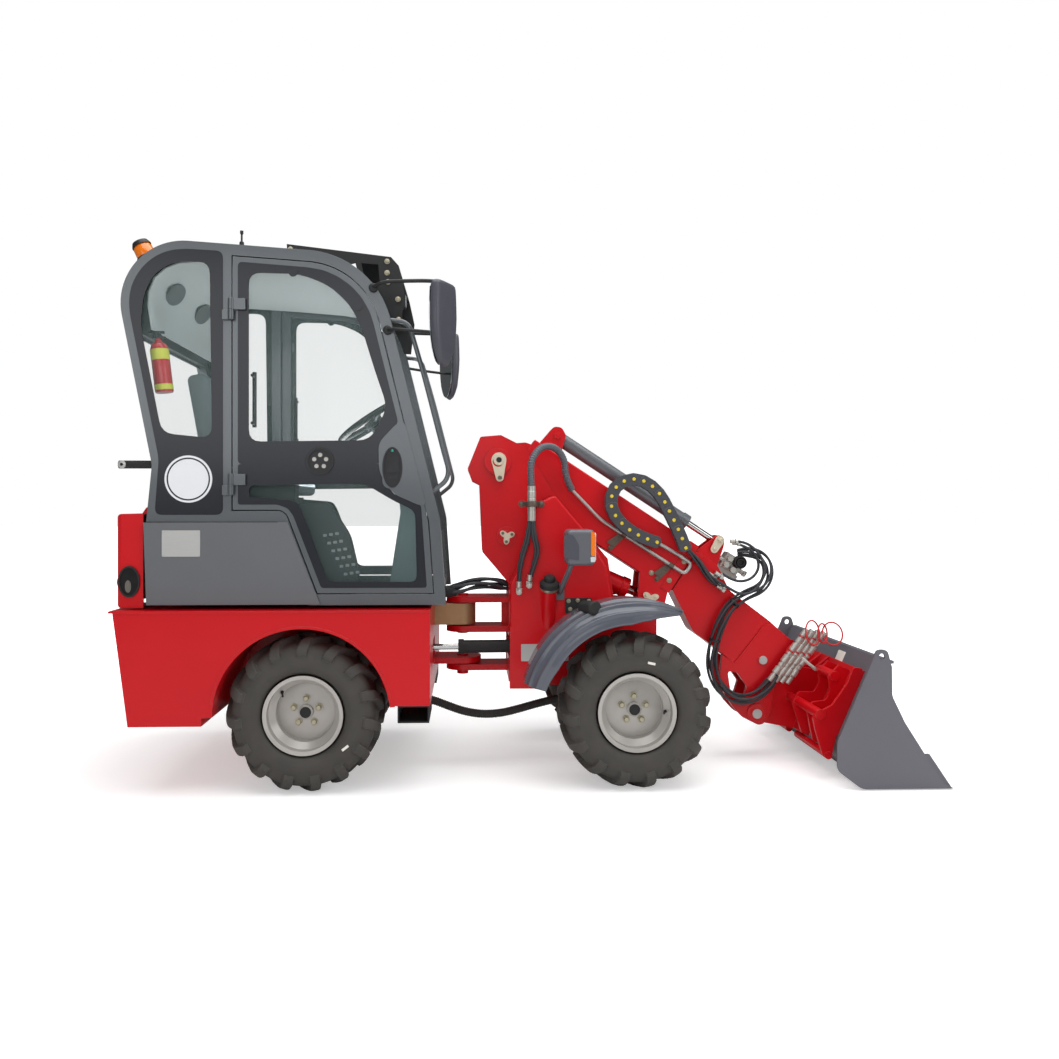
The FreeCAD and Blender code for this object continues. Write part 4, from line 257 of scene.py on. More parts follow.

# Bias-ply traction tyres: a smooth carcass with fifteen pairs of angled lugs, staggered side to side,
# whose ends run down the shoulder as blocks, moulded in carbon-black rubber with a greyer mottle, and
# with the lug edges lightened as a painted highlight.
tyre_rubber = grain(finish("traction_tyre_rubber", "#3A3835", Roughness=0.62), 90, 0.16, 0.25,
                    edge_mm=3.5, lift=0.3, other=linear("#4C4843"))
LUGS = 15
LUG_HEIGHT = 0.0238
TREAD_RADIUS = 0.3298    # no lug reaches past it
HALF_WIDTH = 0.1448
TURN_STEPS = 600
BOLT_CIRCLE = 0.056


def tyre_shape(middle):
    """A closed loop (distance across, radius) carried round the axle. On the tread the radius grows by a
    lug's height where the angle is within half a lug's width of a line that slants away from the
    middle."""
    loop = np.array([(-0.112, 0.176), (-0.126, 0.184), (-0.138, 0.204), (-0.1405, 0.226),
                     (-0.1345, 0.254), (-0.124, 0.278), (-0.112, 0.292), (-0.095, 0.3015),
                     (-0.05, 0.3055), (0.0, 0.306), (0.05, 0.3055), (0.095, 0.3015), (0.112, 0.292),
                     (0.124, 0.278), (0.1345, 0.254), (0.1405, 0.226), (0.138, 0.204), (0.126, 0.184),
                     (0.112, 0.176), (0.06, 0.172), (-0.06, 0.172)])
    step = np.linalg.norm(np.roll(loop, -1, 0) - loop, axis=1)
    far = np.concatenate([[0], np.cumsum(step)])
    closed = np.vstack([loop, loop[:1]])
    dense = np.concatenate([np.linspace(0, far[18], 92, endpoint=False),
                            np.linspace(far[18], far[-1], 6, endpoint=False)])
    across, radius = np.interp(dense, far, closed[:, 0]), np.interp(dense, far, closed[:, 1])
    for _ in range(2):
        across[1:91] = (across[:90] + across[1:91] * 2 + across[2:92]) / 4
        radius[1:91] = (radius[:90] + radius[1:91] * 2 + radius[2:92]) / 4
    turns = np.linspace(0, 2 * np.pi, TURN_STEPS, endpoint=False)
    half = np.abs(across)
    lean = np.interp(half, [0.0, 0.05, 0.10, 0.13, 0.16], [0.0, 7.5, 15.5, 18.0, 18.0])
    pitch = 360 / LUGS
    stagger = np.where(across < 0, 0.0, pitch / 2)
    off = (np.degrees(turns)[None, :] - lean[:, None] - stagger[:, None] + pitch / 2) % pitch - pitch / 2
    wide = np.interp(half, [0.0, 0.02, 0.09, 0.12, 0.16], [2.2, 2.5, 3.3, 4.6, 5.0])
    rise = np.clip((wide[:, None] - np.abs(off)) / 0.7 + 0.5, 0, 1)
    rise = rise * rise * (3 - 2 * rise)
    reach = np.interp(radius, [0.252, 0.257, 0.30], [0.0, 0.9, 1.0]) * np.interp(half, [0.004, 0.016],
                                                                                 [0.0, 1.0])
    reach = np.where(radius < 0.24, 0.0, reach)
    lean_out = np.interp(half, [0.09, 0.124, 0.138], [0.0, 0.5, 0.9])
    lug = LUG_HEIGHT * rise * reach[:, None]
    grown = np.minimum(radius[:, None] + lug * (1 - lean_out * 0.75)[:, None], TREAD_RADIUS)
    spare = HALF_WIDTH - np.minimum(half, HALF_WIDTH)[:, None]
    sideways = across[:, None] + np.sign(across)[:, None] * np.minimum(lug * lean_out[:, None] * 0.95, spare)
    rim_ring = 0.0012 * np.exp(-((radius - 0.196) / 0.003) ** 2)[:, None] * (half > 0.12)[:, None]
    points = np.stack([middle[0] + (grown + rim_ring) * np.cos(turns), middle[1] + sideways,
                       middle[2] + (grown + rim_ring) * np.sin(turns)], -1)
    return points, [grid(len(dense), TURN_STEPS, True, True)]


for side in wheels:
    low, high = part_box("tyre_" + side)
    middle = (low + high) / 2
    body = {"rear_right": "rear_wheel_right", "rear_left": "rear_wheel_left",
            "front_right": "front_wheel_right", "front_left": "front_wheel_left"}[side]
    out = -1.0 if "right" in side else 1.0
    put("tread_" + side, [tyre_shape(middle)], tyre_rubber, body, "tyre_rubber", ["tyre_" + side], sharp=50)
    heads, outward = [], (0, out, 0)
    for a in np.radians(np.arange(5) * 72 + 90):
        heads += bolt((middle[0] + BOLT_CIRCLE * math.cos(a), middle[1] + out * 0.032,
                       middle[2] + BOLT_CIRCLE * math.sin(a)), outward, 0.022, head=0.75, washer=0.016)
    put("wheel_bolts_" + side, heads, zinc, body, "zinc")
    put("hub_cap_" + side, [lathe([(0, 0.0025), (0.020, 0.0025), (0.024, 0.0005), (0.024, -0.004),
                                   (0, -0.004)], (middle[0], middle[1] + out * 0.0560, middle[2]),
                                  outward, 32)], soft_black, body)

# The right rear and front tyres carry a small blank paper label, and each rim a rubber valve stem.
label_paper = grain(finish("blank_paper_label", "#E9E6DC", Roughness=0.55), 20, 0.02, 0.02)


def rounded(corners, radius, steps=5):
    """An outline whose corners C are cut by quadratic arcs: (1-t)^2 A + 2t(1-t) C + t^2 B, where A and B
    lie on the corner's two sides at the radius."""
    corners = np.array(corners, float)
    before, after = np.roll(corners, 1, 0) - corners, np.roll(corners, -1, 0) - corners
    reach_before = np.minimum(radius, np.linalg.norm(before, axis=1) * 0.45)[:, None]
    reach_after = np.minimum(radius, np.linalg.norm(after, axis=1) * 0.45)[:, None]
    a = corners + before / np.linalg.norm(before, axis=1)[:, None] * reach_before
    b = corners + after / np.linalg.norm(after, axis=1)[:, None] * reach_after
    t = np.linspace(0, 1, steps)[None, :, None]
    return ((1 - t) ** 2 * a[:, None] + 2 * t * (1 - t) * corners[:, None] + t ** 2 * b[:,
                                                                                        None]).reshape(-1,
                                                                                                       2)


def reach(outline, centre, angles):
    """How far an outline lies from a centre inside it, along each angle."""
    p = np.asarray(outline, float) - centre
    q = np.roll(p, -1, 0)
    ray = np.stack([np.cos(angles), np.sin(angles)], -1)
    edge = q - p
    cross = ray[:, None, 0] * edge[None, :, 1] - ray[:, None, 1] * edge[None, :, 0]
    cross = np.where(np.abs(cross) < 1e-15, 1e-15, cross)
    far = (p[None, :, 0] * edge[None, :, 1] - p[None, :, 1] * edge[None, :, 0]) / cross
    share = (p[None, :, 0] * ray[:, None, 1] - p[None, :, 1] * ray[:, None, 0]) / cross
    return np.where((share > -1e-9) & (share < 1 + 1e-9) & (far > 0), far, 1e9).min(1)


def flat(outline, low, high, hole=None, centre=None, at=(0, 0, 0), u=(1, 0, 0), v=(0, 0, 1), dish=0.0):
    """A cut sheet: its outline, and a hole's, seen from a centre as r(a), joined as c + r (cos a, sin a)
    between the depths low and high along u x v, which is towards the machine's right by default. dish
    sinks its middle."""
    outline = np.asarray(outline, float)
    c = outline.mean(0) if centre is None else np.array(centre, float)
    parts = [outline] if hole is None else [outline, np.asarray(hole, float)]
    angles = np.unique(np.round(np.concatenate([np.linspace(-np.pi, np.pi, 48, endpoint=False)]
                                               + [np.arctan2(*(p - c).T[::-1]) for p in parts]), 9))
    outer = reach(outline, c, angles)
    inner = reach(hole, c, angles) if hole is not None else outer * 0
    steps = [(outer, low, 0), (outer, high, 0), (inner, high, 1), (inner, low, 1)]
    if hole is None:
        steps = [(outer * 0, low, 1), (outer, low, 0), (outer, high, 0), (outer * 0.5, high, 0.75),
                 (outer * 0, high, 1)]
    u, v = np.array(u, float), np.array(v, float)
    w = np.cross(u, v)
    ray = np.stack([np.cos(angles), np.sin(angles)], -1)
    rings = []
    for r, depth, sunk in steps:
        xy = c + r[:, None] * ray
        rings.append(np.array(at) + xy[:, :1] * u + xy[:,
                                                       1:] * v + (depth - sunk * dish * (depth == high)) * w)
    return np.array(rings), [grid(len(steps), len(angles), hole is not None, True)]


for side, tilt, turn in (("rear_right", -0.62, -0.66), ("front_right", 1.32, 0.22)):
    low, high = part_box("tyre_" + side)
    hub = (low + high) / 2
    across, up = (math.cos(turn), 0, -math.sin(turn)), (math.sin(turn), 0, math.cos(turn))
    mid = (hub[0] + 0.222 * math.cos(tilt), -0.5445, hub[2] + 0.222 * math.sin(tilt))
    put("tyre_label_" + side, [flat(rounded(oblong(-0.016, -0.005, 0.016, 0.005), 0.001),
                                    -0.004, 0.0009, at=mid, u=across, v=up)], label_paper,
        side.replace("_", "_wheel_"))
for side in wheels:
    low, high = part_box("rim_" + side)
    out = -1.0 if "right" in side else 1.0
    a = 2.4 if "rear" in side else -0.05
    foot = ((low[0] + high[0]) / 2 + 0.132 * math.cos(a), (low[1] + high[1]) / 2 + out * 0.060,
            (low[2] + high[2]) / 2 + 0.132 * math.sin(a))
    put("valve_stem_" + side, [lathe([(0, -0.002), (0.0075, 0), (0.0065, 0.012), (0.004, 0.016),
                                      (0.004, 0.034), (0.0048, 0.035), (0.0048, 0.044), (0, 0.045)],
                                     foot, (-0.35 * math.cos(a), out, -0.35 * math.sin(a)), 14)],
        soft_black, side.replace("_", "_wheel_"))

# ---------------------------------------------------------------- tail
# Sheet steel engine hood and grey side covers, the exhaust's end in the hood's flank, lamps and the bare
# aluminium rating plate, which is left blank.
grey_powder = grain(finish("grey_powder_coat", "#6A6C70", Metallic=0.35, Roughness=0.36,
                           Coat_Weight=0.3), 220, 0.05, 0.06, edge_mm=1.8, lift=0.3)
dress(grey_powder, "side_covers")
red_lens = grain(finish("red_lamp_lens", "#B0151B", Roughness=0.12, Coat_Weight=0.6), 5, 0.06, 0.25)
clear_lens = grain(finish("clear_lamp_lens", "#DDE3E4", Roughness=0.1, Metallic=0.25, Coat_Weight=0.7),
                   6, 0.1, 0.5)
amber_lens = grain(finish("amber_lamp_lens", "#F07A14", Roughness=0.15, Coat_Weight=0.6), 6, 0.08, 0.4)
dress(red_lens, "tail_lamps")
dress(soft_black, "plate_lamps")
aluminium = grain(finish("brushed_aluminium", "#BDBDBB", Metallic=0.55, Roughness=0.42), 4, 0.06, 0.03,
                  stretch=(0.08, 1, 1))
# Near black: painted shade for the depth of the exhaust's bore and the plate lamps' bores, which the shallow
# discs lack, with soot in the exhaust.
hole_black = grain(finish("bore_soot_and_shade", "#0B0B0C", Roughness=0.8), 20, 0.2, 0.2)


def studs(spots, depth, size):
    """Small round rivet heads on the machine's right side at (x, z), standing on a face at that depth."""
    return [lathe([(size, 0), (size * 0.9, size * 0.5), (size * 0.5, size * 0.85), (0, size * 0.95)],
                  (x, -depth, z), (0, -1, 0), 12) for x, z in spots]


def both(name, shapes, made, bodies, **extra):
    """A right-hand piece and its mirror image on the left, each on its own body."""
    put(name + "_right", shapes, made, bodies[0], **extra)
    put(name + "_left", [(np.asarray(p) * (1, -1, 1), f) for p, f in shapes], made, bodies[1], **extra)


doors, cab, front = ("door_right", "door_left"), ("rear_body",) * 2, ("front_body",) * 2
plate_at = oblong(-1.572, 0.997, -1.414, 1.107)
put("rating_plate", [flat(rounded(plate_at, 0.004), 0.5021, 0.5032)]
    + studs([(-1.566, 1.101), (-1.420, 1.101), (-1.566, 1.003), (-1.420, 1.003)], 0.5031, 0.003), aluminium,
    "rear_body")


def oval(x, z, width, height, sides=40):
    """An ellipse about (x, z), as (x + w/2 cos a, z + h/2 sin a)."""
    a = np.linspace(0, 2 * np.pi, sides, endpoint=False)
    return np.stack([x + width / 2 * np.cos(a), z + height / 2 * np.sin(a)], -1)


put("exhaust_end", [flat(oval(-1.712, 0.892, 0.090, 0.132), 0.4880, 0.4935,
                         oval(-1.712, 0.892, 0.076, 0.116))], soft_black, "hood_body")
put("exhaust_bore", [flat(oval(-1.712, 0.892, 0.078, 0.118), 0.4880, 0.4898)], hole_black, "hood_body")
put("exhaust_pipe", [flat(oval(-1.716, 0.872, 0.026, 0.052), 0.4895, 0.4912, dish=0.001)], bare_steel,
    "hood_body")
both("plate_lamp_lens", [lathe([(0, 0.003), (0.012, 0.003), (0.0165, 0.001), (0.0165, -0.004), (0, -0.004)],
                               (-1.746, -0.4790, 1.384), (0, -1, 0), 28)], aluminium, cab)
both("plate_lamp_bore", [lathe(oblong(0, 0.0042, 0.006, 0.002), (-1.746, -0.4790, 1.384),
                               (0, -1, 0), 16)], hole_black, cab)

# ---------------------------------------------------------------- cab shell
# Bent steel tube hoops and door frames in grey metallic lacquer, bonded safety glass with a black printed
# border, and a moulded headliner with two oval air outlets.
grey_metal = grain(finish("grey_metallic_lacquer", "#61666A", Metallic=0.5, Roughness=0.3, Coat_Weight=0.4,
                          Coat_Roughness=0.1), 180, 0.05, 0.05, edge_mm=2.5, lift=0.35)
dress(grey_metal, "cab_frame", "door_frame_right", "door_frame_left", "cab_panels")
cab_glass = grain(finish("tinted_safety_glass", "#8FA8A4", Roughness=0.02, Alpha=0.075), 900, 0.03, 0.0)
dress(cab_glass, "cab_glass", "door_glass_right", "door_glass_left")
print_black = grain(finish("printed_glass_border", "#24262C", Roughness=0.2, Specular_IOR_Level=0.4),
                    300, 0.06, 0.0)
lining = grain(finish("moulded_headliner", "#BCC6C6", Roughness=0.75), 8, 0.08, 0.3)
outlet_grey = grain(finish("outlet_grille_grey", "#53595B", Roughness=0.6), 4, 0.1, 0.3)
satin_black = grain(finish("satin_black_plastic", "#202124", Roughness=0.45), 4, 0.1, 0.12)
dot_green = grain(finish("green_lock_dot", "#1F9A83", Roughness=0.4), 4, 0.05, 0.02)
sign_white = grain(finish("blank_white_sign", "#E6E8EC", Roughness=0.35), 60, 0.02, 0.02)

band_top = [(-1.260, 1.385), (-1.260, 2.236), (-0.970, 2.215), (-0.904, 2.204), (-0.843, 2.178),
            (-0.788, 2.140), (-0.743, 2.091), (-0.710, 2.033), (-0.693, 1.983), (-0.588, 1.560),
            (-0.668, 1.475), (-0.668, 1.385)]
clear_top = [(-1.214, 1.480), (-1.214, 2.190), (-1.000, 2.186), (-0.880, 2.140), (-0.791, 2.058),
             (-0.742, 1.960), (-0.690, 1.790), (-0.634, 1.625), (-0.707, 1.487)]
band_low = [(-1.260, 1.385), (-0.668, 1.385), (-0.664, 1.350), (-0.610, 1.262), (-0.492, 1.212),
            (-0.486, 1.126), (-0.468, 0.863), (-0.912, 0.863), (-1.029, 1.168), (-1.052, 1.199),
            (-1.095, 1.215), (-1.260, 1.215)]
clear_low = [(-1.214, 1.297), (-0.728, 1.302), (-0.610, 1.232), (-0.517, 1.188), (-0.510, 0.888),
             (-0.885, 0.888), (-0.995, 1.190), (-1.020, 1.232), (-1.214, 1.240)]
band_rear = [(-1.605, 1.172), (-1.322, 1.172), (-1.322, 2.280), (-1.470, 2.288), (-1.530, 2.284),
             (-1.585, 2.266), (-1.634, 2.233), (-1.673, 2.188), (-1.700, 2.135), (-1.711, 2.078),
             (-1.708, 2.016), (-1.588, 1.407)]
clear_rear = [(-1.664, 1.967), (-1.650, 2.100), (-1.610, 2.178), (-1.550, 2.222), (-1.480, 2.236),
              (-1.377, 2.232), (-1.368, 1.494), (-1.576, 1.515)]
lock_plate = [(-0.470, 1.212), (-0.500, 1.212), (-0.612, 1.262), (-0.668, 1.350), (-0.672, 1.475),
              (-0.590, 1.563), (-0.560, 1.563)]


both("door_print", [flat(rounded(band_top, 0.02), 0.4925, 0.4938, rounded(clear_top, 0.05), (-0.95, 1.8)),
                    flat(rounded(band_low, 0.012), 0.4925, 0.4938, rounded(clear_low, 0.03), (-0.80, 1.22))],
     print_black, doors)
both("quarter_print", [flat(rounded(band_rear, 0.03), 0.4925, 0.4938, rounded(clear_rear, 0.05),
                            (-1.48, 1.8))], print_black, cab)
both("lock_plate", [flat(rounded(lock_plate, 0.03), 0.4925, 0.4962, centre=(-0.60, 1.39))], grey_metal, doors)
both("door_handle", [flat(oval(-0.613, 1.372, 0.084, 0.172), 0.4962, 0.5005,
                          oval(-0.613, 1.372, 0.070, 0.156)),
                     flat(oval(-0.613, 1.372, 0.070, 0.156), 0.4962, 0.4972),
                     flat(rounded(oblong(-0.638, 1.322, -0.588, 1.346), 0.010), 0.4970, 0.4990,
                          dish=0.001), flat(rounded(oblong(-0.641, 1.352, -0.585, 1.425), 0.012),
                                            0.4970, 0.4996, dish=0.002)], satin_black, doors)
both("lock_dot", studs([(-0.613, 1.443)], 0.4972, 0.006), dot_green, doors)
vent = [flat(oval(-0.916, 1.398, 0.116, 0.116), 0.4936, 0.5000, oval(-0.916, 1.398, 0.096, 0.096)),
        flat(oval(-0.916, 1.398, 0.096, 0.096), 0.4936, 0.4955)]
both("door_vent", vent, satin_black, doors)
both("vent_petals", [flat(oval(-0.916 + 0.026 * math.sin(a), 1.398 + 0.026 * math.cos(a), 0.018, 0.018,
                               16), 0.4954, 0.4972, dish=0.0012)
                     for a in np.radians(np.arange(5) * 72)], silver_lacquer, doors)
both("glass_clamps", [flat(rounded([(x - 0.028, z), (x + 0.028, z), (x + 0.012, z - 0.03),
                                    (x - 0.012, z - 0.03)], 0.02), 0.4925, 0.4975) for x,
                      z in ((-1.030, 2.205), (-0.760, 2.062))], print_black, doors)
put("speed_sign", [flat(oval(-1.465, 1.322, 0.198, 0.198, 64), 0.4938, 0.4948)], sign_white, "rear_body")
put("speed_sign_ring", [flat(oval(-1.465, 1.322, 0.180, 0.180, 64), 0.4947, 0.4953,
                             oval(-1.465, 1.322, 0.168, 0.168, 64))], print_black, "rear_body")


def rod(radius, length, origin, along, sides):
    """A plain round bar from origin."""
    return lathe([(0, 0), (radius, 0), (radius, length), (0, length)], origin, along, sides)


both("door_pull", [rod(0.009, 0.235, (-1.205, -0.435, 1.545), (0, 0, 1), 16),
                   rod(0.007, 0.045, (-1.205, -0.475, 1.560), (0, 1, 0), 12),
                   rod(0.007, 0.045, (-1.205, -0.475, 1.762), (0, 1, 0), 12)],
     satin_black, doors)

# Headliner: one moulded skin that follows the roof's line from the screen to the rear window.
roof_line = np.array([(-0.735, 2.130), (-0.780, 2.172), (-0.850, 2.205), (-0.960, 2.222), (-1.200, 2.240),
                      (-1.440, 2.254), (-1.520, 2.248), (-1.580, 2.224), (-1.628, 2.182), (-1.652, 2.120),
                      (-1.655, 2.060), (-1.640, 1.960)])


def skin(line, half, thick):
    """A closed strip: a line in the XZ plane, and the same line thick below it, carried across from -half
    to half."""
    along = np.gradient(line, axis=0)
    inward = np.stack([-along[:, 1], along[:, 0]], -1) / np.linalg.norm(along, axis=1)[:, None]
    loop = np.vstack([line, (line + inward * thick)[::-1]])
    points = np.array([np.stack([loop[:, 0], np.full(len(loop), y), loop[:, 1]], -1) for y in (-half, half)])
    n = len(line)
    caps = np.array([(i, i + 1, 2 * n - 2 - i, 2 * n - 1 - i) for i in range(n - 1)])
    return points, [grid(2, 2 * n, wrap_columns=True), caps, caps + 2 * n]


put("headliner", [skin(roof_line, 0.438, 0.006)], lining, "rear_body", sharp=50)
put("air_outlets", [flat(oval(0, 0, 0.17, 0.105), 0.008, 0.016, at=(-1.626, y, 2.172), u=(0, 1, 0),
                         v=(0.569, 0, 0.822), dish=0.003) for y in (-0.2, 0.2)], outlet_grey, "rear_body")

# ---------------------------------------------------------------- cab inside
# Rubber-covered floor, moulded consoles with a key pad, folding bellows on the steering column and the
# suspension seat in grey vinyl.
floor_rubber = grain(finish("ribbed_floor_rubber", "#2A2B2C", Roughness=0.8), 16, 0.1, 0.06)
dress(floor_rubber, "cab_floor")
seat_steel = grain(finish("seat_frame_black", "#1D1E20", Roughness=0.5), 10, 0.1, 0.1, edge_mm=1.5, lift=0.1)
dress(seat_steel, "seat_base")
vinyl = grain(finish("seat_vinyl", "#6F7C80", Roughness=0.6), 14, 0.07, 0.08)

SHRINK, VOXEL = 0.009, 0.006
CHANNEL_OUT, CHANNEL_DEPTH, CHANNEL_WIDTH = 0.130, 0.007, 0.007
HELD_CHANNEL, HELD_BACK = 0.004, 0.012


def cushion(name, upper, out, cross, cap_mm):
    """A foam piece from the upper or lower solid of the CAD seat: shrunk 9 mm, remeshed at 6 mm, sunk 7
    mm along its sewn channels, blown up as cloth while its back and channels are held, no point by more
    than cap_mm, and subdivided once. out is the way the sitting face looks, and cross how far up the face
    its cross channel lies."""
    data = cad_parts["seat_cushions"].data.copy()
    solid = bmesh.new()
    solid.from_mesh(data)
    bmesh.ops.remove_doubles(solid, verts=solid.verts, dist=1e-6)
    solid.verts.ensure_lookup_table()
    heights = [vert.co.z for vert in solid.verts]
    start = solid.verts[heights.index(max(heights) if upper else min(heights))]
    found, edge = {start}, [start]
    while edge:
        for line in edge.pop().link_edges:
            for vert in line.verts:
                if vert not in found:
                    found.add(vert)
                    edge.append(vert)
    bmesh.ops.delete(solid, geom=[vert for vert in solid.verts if vert not in found], context="VERTS")
    spots = np.array([vert.co for vert in solid.verts])
    middle, half = (spots.max(0) + spots.min(0)) / 2, (spots.max(0) - spots.min(0)) / 2
    for vert, spot in zip(solid.verts, middle + (spots - middle) * (1 - SHRINK / half)):
        vert.co = spot
    solid.to_mesh(data)
    solid.free()
    data.materials.clear()
    data.materials.append(vinyl)
    piece = bpy.data.objects.new(name, data)
    bpy.context.scene.collection.objects.link(piece)
    bpy.context.view_layer.objects.active = piece
    remesh = piece.modifiers.new("remesh", "REMESH")
    remesh.mode, remesh.voxel_size = "VOXEL", VOXEL
    bpy.ops.object.modifier_apply(modifier="remesh")
    data = piece.data
    rest = np.zeros(len(data.vertices) * 3)
    data.vertices.foreach_get("co", rest)
    rest = rest.reshape(-1, 3)
    out = np.array(out) / np.linalg.norm(out)
    up = np.cross(out, (0, 1, 0))
    depth, along, side = (rest - middle) @ out, (rest - middle) @ up, np.abs(rest[:, 1])
    away = np.minimum(np.abs(side - CHANNEL_OUT), np.where(side < CHANNEL_OUT,
                                                           np.abs(along - cross), 1.0))
    away = np.where(depth > 0, away, 1.0)
    sunk = rest - out * (CHANNEL_DEPTH * np.exp(-(away / CHANNEL_WIDTH) ** 2))[:, None]
    data.vertices.foreach_set("co", sunk.ravel())
    held = piece.vertex_groups.new(name="held")
    held.add(np.flatnonzero((away < HELD_CHANNEL) | (depth < depth.min() + HELD_BACK)).tolist(),
             1.0, "REPLACE")
    puff = piece.modifiers.new("puff", "CLOTH")
    puff.settings.use_pressure, puff.settings.uniform_pressure_force = True, 4.0
    puff.settings.vertex_group_mass = "held"
    puff.settings.effector_weights.gravity = 0.0
    puff.settings.quality = 4
    for number in range(1, 21):
        bpy.context.scene.frame_set(number)
    blown = np.zeros(len(data.vertices) * 3)
    shown = piece.evaluated_get(bpy.context.evaluated_depsgraph_get())
    shown.data.vertices.foreach_get("co", blown)
    move = blown.reshape(-1, 3) - sunk
    far = np.linalg.norm(move, axis=1)[:, None]
    move = move * np.minimum(1, cap_mm / 1000 / np.maximum(far, 1e-9))
    piece.modifiers.remove(puff)
    bpy.context.scene.frame_set(1)
    data.vertices.foreach_set("co", (sunk + move).ravel())
    smooth = piece.modifiers.new("smooth", "SUBSURF")
    smooth.levels = 1
    bpy.ops.object.modifier_apply(modifier="smooth")
    piece.vertex_groups.clear()
    piece.data.shade_smooth()
    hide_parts("seat_cushions")
    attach(piece, "rear_body")


cushion("seat_cushion", False, (0, 0, 1), 0.06, 24)
cushion("seat_backrest", True, (0.98, 0, 0.19), 0.08, 24)
console_black = grain(finish("console_plastic", "#2B3033", Roughness=0.5), 12, 0.06, 0.03, edge_mm=4)
dress(console_black, "consoles", "steering_wheel")
console_teal = grain(finish("console_cover_grey", "#5F7377", Roughness=0.5), 12, 0.05, 0.03, edge_mm=4)
patch("consoles", console_teal, (-0.86, -0.3, 0.85), (-0.40, 0.3, 1.50))
key_grey = grain(finish("key_pad_grey", "#8C9295", Roughness=0.5), 3, 0.06, 0.05)
side_panel = [(-1.045, 1.213), (-0.909, 1.228), (-0.813, 1.081), (-0.769, 0.892), (-0.878, 0.826),
              (-0.936, 0.862)]
put("side_console", [flat(rounded(side_panel, 0.03), 0.300, 0.345, centre=(-0.89, 1.03))],
    console_black, "rear_body")
keys = [flat(rounded(oblong(x - 0.008, z - 0.006, x + 0.008, z + 0.006),
                     0.003), 0.3448, 0.3478) for x, z in ((-0.921 + 0.026 * i + 0.018 * j, 1.080 - 0.034 * j
                                                           + 0.004 * i) for i in range(3) for j in range(6))]
put("key_pad", keys, key_grey, "rear_body")
boot = [(0, -0.30)] + [(r, s) for k in range(11) for r, s in ((0.040, -0.298 + k * 0.021),
                                                              (0.054, -0.288 + k * 0.021))]
column = np.array((-138.0, 0, 208)) / math.hypot(138, 208)
put("column_bellows", [lathe(boot + [(0.040, -0.066), (0, -0.066)], (-0.7511, 0, 1.615), column, 28)],
    soft_black, "rear_body", sharp=60)
put("wheel_spinner", [lathe([(0, 0), (0.010, 0), (0.010, 0.022), (0.022, 0.030), (0.026, 0.048),
                             (0.018, 0.064), (0, 0.068)], (-0.640, -0.115, 1.715), column, 24)],
    satin_black, "rear_body")
shell_red = grain(finish("extinguisher_red", "#C4202B", Roughness=0.3, Coat_Weight=0.4), 60, 0.04, 0.03)
shell_yellow = grain(finish("extinguisher_band", "#D8DE4A", Roughness=0.4), 30, 0.04, 0.02)


def block(low, high, ease=0.0):
    """A box with its four upright edges eased, as a cut sheet along Z."""
    low, high = np.array(low, float), np.array(high, float)
    corners = oblong(low[0], low[1], high[0], high[1])
    return flat(rounded(corners, ease, 4) if ease else corners, low[2], high[2], u=(1, 0, 0), v=(0, 1, 0))


put("extinguisher", [lathe([(0, 0), (0.036, 0.003), (0.038, 0.012), (0.038, 0.190), (0.030, 0.212),
                            (0.014, 0.222), (0.012, 0.236), (0, 0.237)], (-1.598, -0.395, 1.694),
                           (-0.12, 0, 1), 32)], shell_red, "rear_body")
put("extinguisher_bands", [lathe(oblong(0.0384, a, 0.0388, b), (-1.598, -0.395, 1.694), (-0.12, 0, 1),
                                 32) for a, b in ((0.012, 0.036), (0.142, 0.188))], shell_yellow,
    "rear_body")
put("extinguisher_valve", [lathe([(0, 0.235), (0.015, 0.235), (0.015, 0.258), (0, 0.260)],
                                 (-1.598, -0.395, 1.694), (-0.12, 0, 1), 16),
                           block((-1.664, -0.402, 1.950), (-1.600, -0.388, 1.960), 0.003),
                           block((-1.646, -0.402, 1.930), (-1.594, -0.388, 1.937), 0.003)], satin_black,
    "rear_body")

# ---------------------------------------------------------------- cab outside
# Powder-coated lamp bracket with zinc screws, work lamps, mirrors, hand rails, aerial and the beacon.
bracket_black = grain(finish("black_powder_coat", "#1B1C1E", Roughness=0.5), 120, 0.1, 0.08,
                      edge_mm=1.2, lift=0.15)
dress(bracket_black, "light_bracket", "work_lamps")
mirror_black = grain(finish("mirror_housing", "#4A4B54", Roughness=0.38), 4, 0.06, 0.1)
dress(grey_metal, "grab_rails")
screws = []
for x, z in ((-1.072, 2.335), (-0.650, 2.286), (-0.650, 2.236), (-0.646, 2.196), (-0.602, 2.120),
             (-0.600, 2.030)):
    screws += bolt((x, -0.3402, z), (0, -1, 0), 0.016, washer=0.012)
put("bracket_screws", screws + [(np.asarray(p) * (1, -1, 1), f) for p, f in screws], zinc, "rear_body")
put("work_lamp_lenses", [flat(rounded(oblong(y - 0.036, 2.210, y + 0.036, 2.268), 0.01), 0.0, 0.0025,
                              at=(-0.6072, 0, 0), u=(0, 1, 0)) for y in (-0.19, 0.19)], clear_lens,
    "rear_body")


def route(points):
    """The line of one NURBS spline of order 3 with these control points, as an array of points."""
    curve = bpy.data.curves.new("line", "CURVE")
    curve.dimensions = "3D"
    spline = curve.splines.new("NURBS")
    spline.points.add(len(points) - 1)
    spline.points.foreach_set("co", np.hstack([np.array(points, float), np.ones((len(points), 1))]).ravel())
    spline.order_u = 3
    spline.use_endpoint_u = True
    curve.resolution_u = 24
    holder = bpy.data.objects.new("line", curve)
    line = bpy.data.meshes.new_from_object(holder)
    path = np.zeros(len(line.vertices) * 3)
    line.vertices.foreach_get("co", path)
    bpy.data.objects.remove(holder)
    bpy.data.curves.remove(curve)
    bpy.data.meshes.remove(line)
    return path.reshape(-1, 3)


